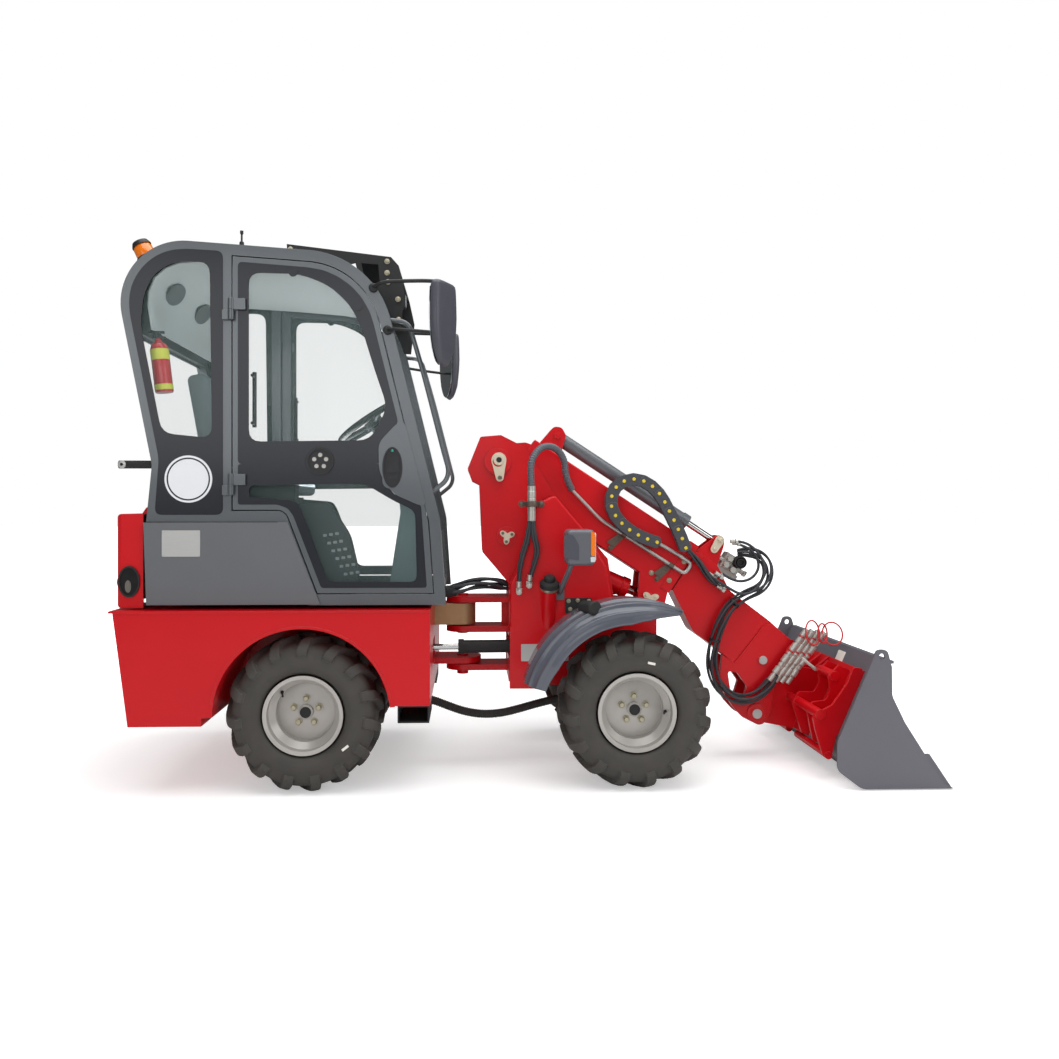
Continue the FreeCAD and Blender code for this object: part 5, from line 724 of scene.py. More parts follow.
def spaced(path, step):
    """The same line with points a step apart along it."""
    far = np.concatenate([[0], np.cumsum(np.linalg.norm(np.diff(path, axis=0), axis=1))])
    at = np.linspace(0, far[-1], max(8, int(far[-1] / step)))
    return np.stack([np.interp(at, far, path[:, i]) for i in range(3)], -1), at


def frames(path):
    """Two directions square to the line at each point, carried along it without turning about it."""
    ahead = np.gradient(path, axis=0)
    ahead /= np.linalg.norm(ahead, axis=1)[:, None]
    side = np.cross(ahead[0], (0.2, 1.0, 0.1))
    sides = []
    for way in ahead:
        side = side - way * np.dot(side, way)
        side = side / np.linalg.norm(side)
        sides.append(side)
    sides = np.array(sides)
    return sides, np.cross(ahead, sides)


def tube(path, radius, step=0.006, sides=14, pitch=0.0, depth=0.0, spiral=False):
    """A closed tube along a line. With a pitch its radius rises and falls by depth: rings, or one spiral
    turn."""
    path, at = spaced(path, step)
    u, v = frames(path)
    a = np.linspace(0, 2 * np.pi, sides, endpoint=False)[None, :]
    wave = 0 * a + 0 * at[:, None]
    if pitch:
        phase = at[:, None] / pitch - (a / (2 * np.pi) if spiral else 0 * a)
        wave = depth * np.tanh(3 * np.cos(2 * np.pi * phase))
    r = (radius + wave)[..., None]
    points = path[:, None] + r * (np.cos(a)[..., None] * u[:, None] + np.sin(a)[..., None] * v[:, None])
    ends = np.array([[path[0]], [path[-1]]])
    points = np.concatenate([np.repeat(ends[0][None], sides, 1), points, np.repeat(ends[1][None], sides, 1)])
    return points, [grid(len(points), sides, wrap_columns=True)]


MIRROR_AT = (-0.395, -0.560, 1.962)
MIRROR_TURN = math.radians(28)


def mirror_shape(wide, deep, tall, shift=0.0):
    """A closed housing: over its height t a rounded square of half width wide * h(t) and half depth deep
    * d(t), turned about Z by MIRROR_TURN at MIRROR_AT."""
    t = np.array([0, 0.004, 0.02, 0.05, 0.12, 0.25, 0.4, 0.55, 0.68, 0.8, 0.9, 0.96, 0.99, 1.0])
    h = np.interp(t, [0, 0.004, 0.02, 0.06, 0.35, 0.6, 0.8, 0.92, 0.98, 1],
                  [0, 0.80, 0.88, 0.93, 1, 0.94, 0.74, 0.50, 0.28, 0]) * wide
    d = np.interp(t, [0, 0.004, 0.02, 0.06, 0.4, 0.8, 0.95, 1], [0, 0.7, 0.85, 0.93, 1, 0.85, 0.5, 0]) * deep
    a = np.linspace(0, 2 * np.pi, 40, endpoint=False)
    square = np.sign(np.stack([np.cos(a), np.sin(a)])) * np.abs(np.stack([np.cos(a), np.sin(a)])) ** 0.55
    x, y = d[:, None] * square[0] + shift, h[:, None] * square[1]
    c, s = math.cos(MIRROR_TURN), math.sin(MIRROR_TURN)
    points = np.stack([MIRROR_AT[0] + x * c + y * s, MIRROR_AT[1] - (x * s - y * c),
                       MIRROR_AT[2] + tall * (1 - 2 * t)[:, None] + 0 * x], -1)
    return points, [grid(len(t), 40, wrap_columns=True)]


both("mirror_housing", [mirror_shape(0.088, 0.026, 0.176)], mirror_black, cab, replaces=["mirrors"])
mirror_silver = grain(finish("mirror_glass", "#C9D0D2", Metallic=1.0, Roughness=0.06), 400, 0.02, 0.0)
both("mirror_glass", [mirror_shape(0.078, 0.004, 0.165, -0.0235)], mirror_silver, cab)
arms = [tube(route([(-0.693, -0.498, 2.130), (-0.663, -0.536, 2.146), (-0.560, -0.550, 2.146),
                    (-0.447, -0.560, 2.146), (-0.410, -0.560, 2.138), (-0.401, -0.560, 2.090)]), 0.008),
        tube(route([(-0.633, -0.498, 1.952), (-0.613, -0.530, 1.952), (-0.500, -0.550, 1.938),
                    (-0.413, -0.560, 1.930)]), 0.007)]
pads = [lathe([(0, 0), (0.019, 0), (0.019, 0.011), (0.016, 0.014), (0, 0.014)], (x, -0.4925, z),
              (0, -1, 0), 24) for x, z in ((-0.693, 2.130), (-0.633, 1.952))]
both("mirror_arms", arms + pads, bracket_black, cab, sharp=60)
dome_at, dome_up = np.array((-1.697, -0.300, 2.290)), np.array((-8.0, 0, 16)) / math.hypot(8, 16)
put("beacon_foot", [lathe([(0, -0.075), (0.014, -0.075), (0.014, -0.004), (0.046, 0), (0.046, 0.018),
                           (0, 0.018)], dome_at + (-0.002, 0, 0), dome_up, 32)], soft_black,
    "rear_body", replaces=["beacon"])
put("beacon_lens", [lathe([(0, 0.018), (0.040, 0.018), (0.041, 0.030), (0.040, 0.062), (0.036, 0.070),
                           (0, 0.070)], dome_at + (-0.002, 0, 0), dome_up, 32)], amber_lens,
    "rear_body", slot="orange_lens")
put("beacon_cap", [lathe([(0, 0.069), (0.042, 0.069), (0.042, 0.073), (0.034, 0.090), (0.018, 0.096),
                          (0, 0.097)], dome_at + (-0.002, 0, 0), dome_up, 32)], satin_black, "rear_body")
put("aerial", [lathe([(0, 0), (0.011, 0), (0.009, 0.018), (0.004, 0.022), (0.004, 0.05), (0.007, 0.054),
                      (0.007, 0.066), (0, 0.068)], (-1.252, -0.462, 2.309), (0, 0, 1), 14)],
    satin_black, "rear_body")

# ---------------------------------------------------------------- front frame
# Pin keepers in passivated steel, the moulded filler cap with its steel collar, mudguards of beaded grey
# polyethylene on a bolted bracket, driving lamps and a blank plate on the tank.
fender_plastic = grain(finish("mudguard_polyethylene", "#555963", Roughness=0.24, Coat_Weight=0.3), 60,
                       0.06, 0.08, edge_mm=3)

GUARD_X, GUARD_Z = 0.41094, 0.334
GUARD_RADIUS, SHOULDER = 0.471, 0.092
CROWN, INNER_EDGE, INNER_SLOPE = 0.455, 0.430, 0.317


def mudguard():
    """A moulded guard from 62 to 166 degrees round the wheel. Its section runs from the flat crown over a
    quarter-round shoulder, where the radius is GUARD_RADIUS - s SHOULDER (1 - cos t) and the distance
    from the middle plane is CROWN + s SHOULDER sin t, with three raised beads. The shoulder's share s
    falls towards the front end, which comes to a tongue, and a little at the rear."""
    turn = np.radians(np.linspace(62, 166, 90))[:, None]
    s = np.interp(np.degrees(turn), [62, 64, 70, 80, 92, 150, 166], [0.10, 0.22, 0.46, 0.78, 1.0, 1.0, 0.86])
    t = np.radians(np.linspace(-26, 90, 60))[None, :]
    bead = sum(np.exp(-((np.degrees(t) - at) / 5.5) ** 2) for at in (6, 34, 62)) * 0.0085
    narrow = np.interp(np.degrees(turn), [62, 66, 74, 92], [0.62, 0.45, 0.18, 0.0])

    def section(thin):
        cap = np.maximum(t, 0)
        radius = GUARD_RADIUS - thin - s * SHOULDER * (1 - np.cos(cap)) + bead * (thin == 0) * np.cos(cap)
        across = CROWN + (SHOULDER * s - thin) * np.sin(cap) + bead * (thin == 0) * np.sin(cap)
        across = across + np.minimum(t, 0) * INNER_SLOPE
        across = INNER_EDGE + (across - INNER_EDGE) * (1 - narrow * (across < INNER_EDGE))
        return np.stack([GUARD_X + radius * np.cos(turn), -across, GUARD_Z + radius * np.sin(turn)], -1)

    top, under = section(0.0), section(0.006)
    points = np.concatenate([top, under[:, ::-1]], 1)
    count = points.shape[1]
    half = count // 2
    caps = np.array([(i, i + 1, count - 2 - i, count - 1 - i) for i in range(half - 1)])
    return points, [grid(len(points), count, wrap_columns=True), caps, caps + count * (len(points) - 1)]


both("mudguard", [mudguard()], fender_plastic, front, replaces=["front_fenders"], sharp=50)
both("mudguard_arm", [tube(route([(0.262, -0.228, 0.754), (0.285, -0.300, 0.762),
                                  (0.300, -0.400, 0.778)]), 0.012),
                      block((0.275, -0.440, 0.776), (0.335, -0.360, 0.786), 0.01)], bracket_black,
     front, sharp=60)
lamp_grey = grain(finish("lamp_housing_grey", "#5F6168", Roughness=0.35), 4, 0.05, 0.1)
dress(soft_black, "filler_cap", "steps")
dress(lamp_grey, "headlamps")
keeper_zinc = grain(finish("yellow_passivate", "#DCD0B8", Metallic=0.35, Roughness=0.42), 14, 0.08,
                    0.05, edge_mm=1.5, lift=0.2)
strap_steel = grain(finish("aged_clamp_steel", "#6B5F55", Metallic=0.6, Roughness=0.45), 12, 0.2, 0.2,
                    edge_mm=1.5, lift=0.3)


def drop(x, z, radius, tail_x, tail_z, tail_radius, sides=24):
    """The outline round two circles: each gives the arc that faces away from the other."""
    lie = math.atan2(tail_z - z, tail_x - x)
    lean = math.acos((radius - tail_radius) / math.hypot(tail_x - x, tail_z - z))
    big = np.linspace(lie + lean, lie + 2 * math.pi - lean, sides)
    small = np.linspace(lie - lean, lie + lean, sides)
    return np.vstack([np.stack([x + radius * np.cos(big), z + radius * np.sin(big)], -1),
                      np.stack([tail_x + tail_radius * np.cos(small),
                                tail_z + tail_radius * np.sin(small)], -1)])


def trefoil(x, z, size, turn):
    """A plate of three round lobes: r = size (0.70 + 0.30 cos 3(a - turn))."""
    a = np.linspace(0, 2 * np.pi, 60, endpoint=False)
    r = size * (0.70 + 0.30 * np.cos(3 * (a - turn)))
    return np.stack([x + r * np.cos(a), z + r * np.sin(a)], -1)


keepers = [flat(drop(-0.150, 1.424, 0.035, -0.146, 1.341, 0.018), 0.1203, 0.1258, centre=(-0.150, 1.40))]
keepers += [lathe([(0.013, 0), (0.013, 0.004), (0.0245, 0.004), (0.0265, 0)], (-0.150, -0.1255, 1.424),
                  (0, -1, 0), 28)]
keepers += [flat(trefoil(-0.112, 1.066, 0.038, 0.4), 0.1145, 0.1203)]
both("pin_keepers", keepers, keeper_zinc, front)
heads = bolt((-0.146, -0.1258, 1.341), (0, -1, 0), 0.018)
for a in (0.4, 2.49, 4.59):
    heads += bolt((-0.112 + 0.025 * math.cos(a), -0.1203, 1.066 + 0.025 * math.sin(a)), (0, -1, 0), 0.013)
both("keeper_bolts", heads, bare_steel, front)
both("pin_bores", [lathe(oblong(0, 0.0012, 0.0125, 0), (-0.150, -0.1261, 1.424), (0, -1, 0), 24)],
     satin_black, front)
cap_at, cap_up = np.array((0.07294, -0.270, 0.842)), np.array((0, -80, 196)) / math.hypot(80, 196)
put("filler_collar", [lathe([(0.034, -0.010), (0.041, -0.010), (0.0435, -0.002), (0.0435, 0.002),
                             (0.034, 0.002)], cap_at, cap_up, 40)], zinc, "front_body")
ribs = [(0.0425 + 0.0018 * (k % 2), 0.004 + 0.0045 * (k // 2)) for k in range(10)]
put("filler_grip", [lathe([(0, 0.004)] + ribs + [(0.036, 0.031), (0.030, 0.034), (0.026, 0.034),
                                                 (0.026, 0.050), (0.020, 0.056), (0, 0.056)], cap_at,
                          cap_up, 40)], soft_black, "front_body", replaces=["filler_cap"])
plate_at = oblong(-0.052, 0.500, 0.165, 0.578)
put("tank_plate", [flat(rounded(plate_at, 0.004), 0.2243, 0.2252)]
    + studs([(-0.046, 0.572), (0.159, 0.572), (-0.046, 0.506), (0.159, 0.506)], 0.2251, 0.0028), aluminium,
    "front_body")
bracket = oblong(0.150, 0.715, 0.272, 0.788)
both("fender_bracket", [flat(rounded(bracket, 0.01), 0.2243, 0.2300),
                        block((0.190, -0.262, 0.722), (0.262, -0.230, 0.734), 0.004)], bracket_black,
     front)
bolts = []
for x, z in ((0.165, 0.775), (0.207, 0.778), (0.258, 0.775), (0.172, 0.738), (0.258, 0.732)):
    bolts += bolt((x, -0.2300, z), (0, -1, 0), 0.013, washer=0.010)
both("fender_bracket_bolts", bolts, zinc, front)
clamp_ribs = [(0.030 + 0.002 * (k % 2), -0.045 + 0.006 * (k // 2)) for k in range(30)]
both("fender_clamp", [lathe([(0, -0.05), (0.024, -0.05)] + clamp_ribs + [(0.024, 0.046), (0, 0.046)],
                            (0.228, -0.478, 0.772), (0.45, -1, 0.1), 28)], soft_black, front)
lamp_right = [flat(rounded(oblong(-0.430, 0.966, -0.314, 1.092), 0.02), 0.0, 0.004,
                   at=(0.2571, 0, 0), u=(0, 1, 0), dish=-0.003)]
both("headlamp_lens", lamp_right, clear_lens, front)
both("turn_signal", [flat(rounded([(0.238, 0.992), (0.2560, 0.992), (0.2560, 1.092), (0.238, 1.100)],
                                  0.007), 0.4421, 0.4434)], amber_lens, front)
both("position_lamp", [flat(rounded(oblong(0.236, 0.966, 0.2555, 0.989), 0.005), 0.4421,
                            0.4432)], clear_lens, front)
both("headlamp_seam", [flat(rounded([(0.122, 0.985), (0.186, 0.972), (0.186, 1.040), (0.160, 1.085),
                                     (0.122, 1.085)], 0.01), 0.4421, 0.4428)], mirror_black, front)

# ---------------------------------------------------------------- boom
# Welded red box sections, a grey telescope barrel and hard-chromed rods, with bolts, keepers and the
# steel pipe.
chrome = grain(finish("hard_chrome", "#C9C9C8", Metallic=1.0, Roughness=0.12), 400, 0.03, 0.01)
dress(chrome, "lift_rod", "tilt_rod", "steer_rod", "extend_rod")
barrel_grey = grain(finish("barrel_grey_lacquer", "#6A6D71", Metallic=0.3, Roughness=0.35), 120, 0.06,
                    0.05, edge_mm=1.5, lift=0.3)
dress(barrel_grey, "extend_barrel")
dress(soft_black, "steer_barrel")
fitting_steel = grain(finish("zinc_nickel_fitting", "#C4C2BB", Metallic=0.7, Roughness=0.36), 10, 0.1, 0.04)
dress(fitting_steel, "valve_block")
pipe_steel = grain(finish("drawn_steel_pipe", "#BDBBB7", Metallic=0.7, Roughness=0.34), 300, 0.04, 0.01)
LEAN = math.radians(33.2)
PIVOT_X, PIVOT_Z = -0.15406, 1.417


def on_boom(along, above, across=0.0):
    """A place on the parked boom: metres along and above its axis from the pivot, and across the
    machine."""
    return (PIVOT_X + along * math.cos(LEAN) + above * math.sin(LEAN), across,
            PIVOT_Z - along * math.sin(LEAN) + above * math.cos(LEAN))


AXIS, ABOVE = (math.cos(LEAN), 0, -math.sin(LEAN)), (math.sin(LEAN), 0, math.cos(LEAN))
RIGHT = (0, -1, 0)


def beside(outline, low, high, **extra):
    """A cut sheet on the boom's right side: its outline is in metres along and above the boom's axis."""
    return flat(outline, low, high, at=on_boom(0, 0), u=AXIS, v=ABOVE, **extra)


boom_bolts = []
for d, n in ((0.990, -0.024), (1.002, 0.090), (0.900, -0.040)):
    boom_bolts += bolt(on_boom(d, n, -0.0845 if d > 0.95 else -0.0803), RIGHT, 0.015, washer=0.012)
put("boom_bolts", boom_bolts, zinc, "boom_body")
pipe_line = route([on_boom(d, n, -0.097) for d, n in ((0.366, 0.080), (0.463, 0.058), (0.552, 0.037),
                                                      (0.620, 0.0363), (0.800, 0.039), (0.995, 0.0405),
                                                      (1.030, 0.042), (1.036, 0.071), (1.030, 0.100),
                                                      (0.995, 0.100), (0.930, 0.100), (0.852, 0.094))])
put("steel_pipe", [tube(pipe_line, 0.009, step=0.004, sides=20)], pipe_steel, "boom_body",
    replaces=["boom_pipe"])
STRAPS_AT = (0.690, 0.958)
straps = [beside(rounded([(d - 0.010, 0.052), (d + 0.012, 0.052), (d - 0.010, -0.062),
                          (d - 0.032, -0.062)], 0.009), 0.0803, 0.0835) for d in STRAPS_AT]
for d in STRAPS_AT:
    straps += bolt(on_boom(d - 0.021, -0.050, -0.0835), RIGHT, 0.014, washer=0.011)
    straps += bolt(on_boom(d - 0.008, 0.012, -0.0835), RIGHT, 0.014, washer=0.011)
    straps += [beside(rounded([(d - 0.052, -0.036), (d - 0.010, -0.036), (d + 0.012, 0.052),
                               (d - 0.014, 0.052)], 0.008), 0.0835, 0.0875)]
    straps += [lathe(oblong(0.0095, -0.012, 0.0135, 0.012),
                     on_boom(d - 0.002, 0.039, -0.097), AXIS, 20)]
put("pipe_straps", straps, strap_steel, "boom_body")
lift_keeper = [beside(trefoil(0.962, -0.146, 0.042, 0.9), 0.0845, 0.0895)]
for a in (0.9, 2.99, 5.09):
    lift_keeper += bolt(on_boom(0.962 + 0.027 * math.cos(a), -0.146 + 0.027 * math.sin(a), -0.0895),
                        RIGHT, 0.011)
both("lift_pin_keeper", lift_keeper, keeper_zinc, ("boom_body", "boom_body"))
eye_keeper = [beside(drop(1.098, 0.272, 0.022, 1.100, 0.222, 0.018), 0.0505, 0.0550, centre=(1.098, 0.262))]
eye_keeper += bolt(on_boom(1.098, 0.274, -0.055), RIGHT, 0.015, washer=0.012)
eye_keeper += bolt(on_boom(1.100, 0.224, -0.055), RIGHT, 0.013, washer=0.010)
put("extend_pin_keeper", eye_keeper, keeper_zinc, "boom_inner_body")
put("neck_pins", [lathe([(0, 0.0062), (0.019, 0.0062), (0.020, 0.0052), (0.020, 0)],
                        on_boom(1.575, -0.097, -0.0895), RIGHT, 30),
                  lathe([(0, 0.0062), (0.022, 0.0062), (0.023, 0.0052), (0.023, 0)],
                        on_boom(1.690, -0.326, -0.0915), RIGHT, 30)], aluminium, "boom_inner_body")

# Screwed hose ends: a crimped sleeve behind a hexagon nut, in zinc-nickel steel.


def hose_end(origin, along, bore, scale=1.0):
    """A crimped sleeve of three rings and a hexagon nut, one after the other along the hose."""
    w = np.array(along, float) / np.linalg.norm(along)
    r = bore * 1.35
    ring = [(r, 0), (r * 1.06, 0.003 * scale), (r, 0.006 * scale)]
    sleeve = [(bore * 0.9, 0)] + [(x, s + 0.007 * scale * k) for k in range(4) for x,
                                  s in ring] + [(bore * 0.9, 0.028 * scale)]
    nut = [(0, 0.030 * scale), (r * 1.25, 0.030 * scale), (r * 1.35, 0.032 * scale),
           (r * 1.35, 0.043 * scale), (r * 1.25, 0.045 * scale), (0, 0.045 * scale)]
    return [lathe(sleeve, origin, w, 18), lathe(nut, origin, w, 6)]


valve = []
for d, n, y, way in ((1.185, 0.225, -0.034, RIGHT), (1.185, 0.190, -0.034, RIGHT),
                     (1.225, 0.186, -0.034, RIGHT), (1.172, 0.205, -0.020, (-AXIS[0], 0, -AXIS[2])),
                     (1.262, 0.205, -0.020, AXIS)):
    valve += hose_end(on_boom(d, n, y), way, 0.0085, 0.9)
for k, (d, n) in enumerate(((1.128, 0.106), (1.160, 0.092), (1.192, 0.080), (1.150, 0.126))):
    valve += hose_end(on_boom(d, n, -0.090 - 0.004 * k), AXIS, 0.0075)
put("valve_fittings", valve, fitting_steel, "boom_inner_body")
coil = [(0, 0.034), (0.014, 0.034), (0.014, 0.044), (0.019, 0.044), (0.019, 0.030), (0.024, 0.030),
        (0.024, 0.041), (0.029, 0.041), (0.031, 0.036), (0.031, 0.004), (0.024, 0), (0, 0)]
put("solenoid_coil", [lathe(coil, on_boom(1.236, 0.236, -0.034), RIGHT, 32)], soft_black,
    "boom_inner_body", sharp=30)

# ---------------------------------------------------------------- hoses
# Black wrapped hydraulic hoses. Each hangs between two screwed ends and follows one smooth line, and a
# bundle's hoses lie side by side round that line.
hose_rubber = grain(finish("hose_rubber_wrap", "#33353A", Roughness=0.42), 6, 0.15, 0.1)
sleeve_grey = grain(finish("spiral_hose_guard", "#5A5D64", Roughness=0.36), 8, 0.1, 0.1)
conduit_black = grain(finish("corrugated_conduit", "#2B2827", Roughness=0.6), 8, 0.2, 0.15)


def strand(path, out, start, turns=0.0):
    """A line that lies out from another, at the angle start, and winds round it by turns over its
    length."""
    path, at = spaced(path, 0.006)
    u, v = frames(path)
    ease = np.clip(np.minimum(at, at[-1] - at) / 0.05, 0, 1)[:, None]
    a = (start + 2 * np.pi * turns * at / at[-1])[:, None]
    return path + out * (0.55 + 0.45 * ease) * (np.cos(a) * u + np.sin(a) * v)


def hose(name, path, radius, made, body, across_joint=None, lay="hanging", stiffness="medium", replaces=(),
         with_pieces=(), **ribs):
    """One hose as a tube along a line: riding on its body, or fixed in world place when it crosses a joint.
    """
    piece = put(name, [tube(path, radius, **ribs)], made, None if across_joint else body, "hose_rubber",
                replaces, 60)
    if across_joint:
        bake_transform(piece)
    return piece


# From the clamp on the tower one guarded bundle arches over to the boom; its hoses come out below the
# clamp and screw into the tower's ports.
arch = route([(-0.006, -0.252, 1.292), (-0.011, -0.255, 1.358), (-0.006, -0.252, 1.425),
              (0.042, -0.219, 1.483), (0.110, -0.173, 1.483), (0.158, -0.140, 1.425),
              (0.160, -0.136, 1.343), (0.194, -0.112, 1.284)])
hose("tower_arch", arch, 0.0155, sleeve_grey, None, ("front_body", "boom_body", (-0.006, -0.252, 1.292),
                                                     (0.194, -0.112, 1.284)), step=0.002, sides=18,
     pitch=0.011, depth=0.0011, spiral=True, replaces=["tower_hoses"])
rear_pair = route([(-0.013, -0.252, 1.138), (-0.015, -0.254, 1.068), (-0.044, -0.252, 0.986),
                   (-0.060, -0.250, 0.908), (-0.063, -0.246, 0.850)])
front_pair = route([(0.002, -0.252, 1.138), (0.009, -0.255, 1.072), (0.028, -0.254, 1.013),
                    (0.012, -0.250, 0.950), (-0.014, -0.246, 0.878)])
for name, line in (("tower_drop_rear", rear_pair), ("tower_drop_front", front_pair)):
    hose(name, line, 0.0085, hose_rubber, "front_body")
    hose(name + "_inner", strand(line, 0.012, 2.2, 0.35), 0.007, hose_rubber, "front_body")
ends = hose_end((-0.063, -0.246, 0.866), (0, 0.05, -1), 0.0085) + hose_end((-0.013, -0.246, 0.896),
                                                                           (-0.1, 0.05, -1), 0.0085)
ends += [lathe(oblong(0, -0.009, 0.013, 0.009), (-0.063, -0.245, 0.818), RIGHT, 22),
         lathe(oblong(0, -0.009, 0.013, 0.009), (-0.017, -0.245, 0.848), RIGHT, 22)]
for x, z in ((-0.063, 0.818), (-0.017, 0.848)):
    ends += bolt((x, -0.254, z), RIGHT, 0.018)
    ends += [rod(0.008, 0.025, (x, -0.2243, z), RIGHT, 16)]
ends += [lathe([(0.0155, 0), (0.0200, 0.002), (0.0200, 0.018), (0.0185, 0.020), (0.0200, 0.022),
                (0.0200, 0.048), (0.0185, 0.050), (0.0185, 0.072), (0.0150, 0.074)],
               (-0.006, -0.252, 1.226), (0, 0, 1), 30), lathe([(0.014, 0), (0.0185, 0),
                                                               (0.0185, -0.016), (0.017, -0.018),
                                                               (0.0185, -0.020), (0.0185, -0.066),
                                                               (0.012, -0.070)],
                                                              (-0.006, -0.252, 1.208), (0, 0, 1), 30)]
put("tower_hose_ends", ends, fitting_steel, "front_body")
clamp = [flat(rounded(oblong(-0.058, 1.206, 0.048, 1.230), 0.01), 0.2245, 0.2290),
         lathe([(0.019, -0.013), (0.026, -0.013), (0.028, -0.009), (0.028, 0.009), (0.026, 0.013),
                (0.019, 0.013)], (-0.006, -0.252, 1.218), (0, 0, 1), 32)]
for x in (-0.050, 0.040):
    clamp += bolt((x, -0.2290, 1.218), RIGHT, 0.018, washer=0.015)
put("tower_clamp", clamp, strap_steel, "front_body")

# Five hoses run side by side from a rubber boot at the cab's floor to the tower, above the hinge.
bundle = route([(-0.407, -0.150, 0.812), (-0.345, -0.152, 0.822), (-0.277, -0.146, 0.846),
                (-0.207, -0.120, 0.852), (-0.143, -0.084, 0.840), (-0.091, -0.062, 0.824)])
steer = ("rear_body", "front_body", (-0.400, -0.110, 0.812), (-0.170, -0.110, 0.812))
for k in range(5):
    hose("cab_hose_%d" % (k + 1), strand(bundle, 0.021, 0.4 + k * 1.26, 0.35), 0.0075, hose_rubber,
         None, steer, replaces=["cab_hoses"] if k == 0 else ())
put("cab_hose_boot", [lathe([(0.030, 0), (0.032, 0.010), (0.026, 0.016), (0.028, 0.030), (0.024, 0.070),
                             (0, 0.072)], (-0.418, -0.150, 0.811), (1, 0, 0.06), 28)], soft_black,
    "rear_body")

# A corrugated conduit carries the axle's hoses under the hinge.
conduit = route([(-0.532, -0.140, 0.326), (-0.462, -0.146, 0.312), (-0.390, -0.150, 0.284),
                 (-0.312, -0.152, 0.256), (-0.226, -0.152, 0.242), (-0.140, -0.148, 0.246),
                 (-0.056, -0.140, 0.264), (0.032, -0.128, 0.286), (0.128, -0.112, 0.304),
                 (0.228, -0.092, 0.320), (0.3294, -0.080, 0.326)])
hose("hitch_conduit", conduit, 0.0185, conduit_black, None,
     ("rear_body", "front_body", (-0.45, -0.15, 0.28), (-0.19, -0.15, 0.28)), step=0.0025, sides=16,
     pitch=0.009, depth=0.0013, replaces=["hitch_hose"])
put("conduit_hanger", [block((-0.518, -0.203, 0.330), (-0.498, -0.136, 0.336)),
                       block((-0.518, -0.203, 0.335), (-0.498, -0.197, 0.3737)),
                       lathe(oblong(0.0195, -0.010, 0.0225, 0.010), (-0.512, -0.142, 0.322),
                             (1, -0.08, -0.16), 24)], bracket_black, "rear_body")

# ---------------------------------------------------------------- energy chain
# Moulded nylon links with yellow pivot caps. The lower run lies still on the boom and the upper run pays
# out.
chain_nylon = grain(finish("chain_nylon", "#44464B", Roughness=0.42), 5, 0.1, 0.1, edge_mm=2, lift=0.25)
cap_yellow = grain(finish("pivot_cap_yellow", "#E3C82C", Roughness=0.45), 4, 0.05, 0.03)
CHAIN_PITCH, CHAIN_LAP = 0.0432, 0.001
LINK_REACH, LINK_HALF = 0.0170, 0.0285
chain = [(0.833, 0.092), (0.788, 0.080), (0.744, 0.072), (0.697, 0.069), (0.650, 0.074), (0.604, 0.086),
         (0.563, 0.110), (0.536, 0.148), (0.526, 0.196), (0.540, 0.243), (0.573, 0.280), (0.617, 0.299),
         (0.664, 0.302), (0.711, 0.293), (0.756, 0.273), (0.799, 0.248), (0.841, 0.224), (0.882, 0.199),
         (0.923, 0.172), (0.962, 0.144)]
chain_path = spaced(route([on_boom(d, n, -0.115) for d, n in chain]), CHAIN_PITCH)[0]


def link(here, there, step):
    """One link: two side plates, round-ended like a bone, joined by a flat bar above and one below the
    hoses. Every second link's plates stand a step further out, where they lap the next ones."""
    ahead = np.array(there) - here
    long = np.linalg.norm(ahead)
    ahead = ahead / long
    up = np.cross(ahead, (0, 1, 0))
    a = np.linspace(0, 2 * np.pi, 28, endpoint=False)
    bone = np.stack([np.where(np.cos(a) > 0, long, 0) + LINK_REACH * np.cos(a), LINK_HALF * np.sin(a)], -1)
    mid = (long / 2, 0)
    plates = [flat(bone, low + step, low + step + 0.0040, centre=mid, at=np.array(here) * (1, 0, 1),
                   u=ahead, v=up) for low in (0.0975, 0.1280)]
    bars = [flat(rounded(oblong(long * 0.2, 0.1015, long * 0.8, 0.1285), 0.002), s, s + 0.0025,
                 at=np.array(here) * (1, 0, 1), u=ahead, v=(0, -1, 0)) for s in (-0.0240, 0.0215)]
    return plates + bars


def cap(here):
    """A round pivot cap on the outer plate."""
    return lathe([(0, 0.0014), (0.0070, 0.0014), (0.0082, 0), (0.0082, -0.001), (0, -0.001)],
                 (here[0], -0.1329, here[2]), RIGHT, 18)


turn = int(np.argmin(chain_path @ np.array(AXIS)))
count = len(chain_path)
put("chain_lower_links", [s for i in range(turn) for s in link(chain_path[i], chain_path[i + 1],
                                                               CHAIN_LAP * (i % 2))], chain_nylon,
    "boom_body", replaces=["energy_chain"])
put("chain_lower_caps", [cap(chain_path[i]) for i in range(turn)], cap_yellow, "boom_body")
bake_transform(put("chain_upper_links", [s for i in range(turn, count - 1)
                                   for s in link(chain_path[i], chain_path[i + 1],
                                                 CHAIN_LAP * (i % 2))], chain_nylon, None))
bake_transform(put("chain_upper_caps", [cap(p) for p in chain_path[turn:]], cap_yellow, None))
put("chain_foot", [flat(rounded([(0.800, 0.076), (0.850, 0.082), (0.850, 0.110), (0.800, 0.104)],
                                0.004), 0.0805, 0.1325, at=on_boom(0, 0), u=AXIS, v=ABOVE)],
    chain_nylon, "boom_body")

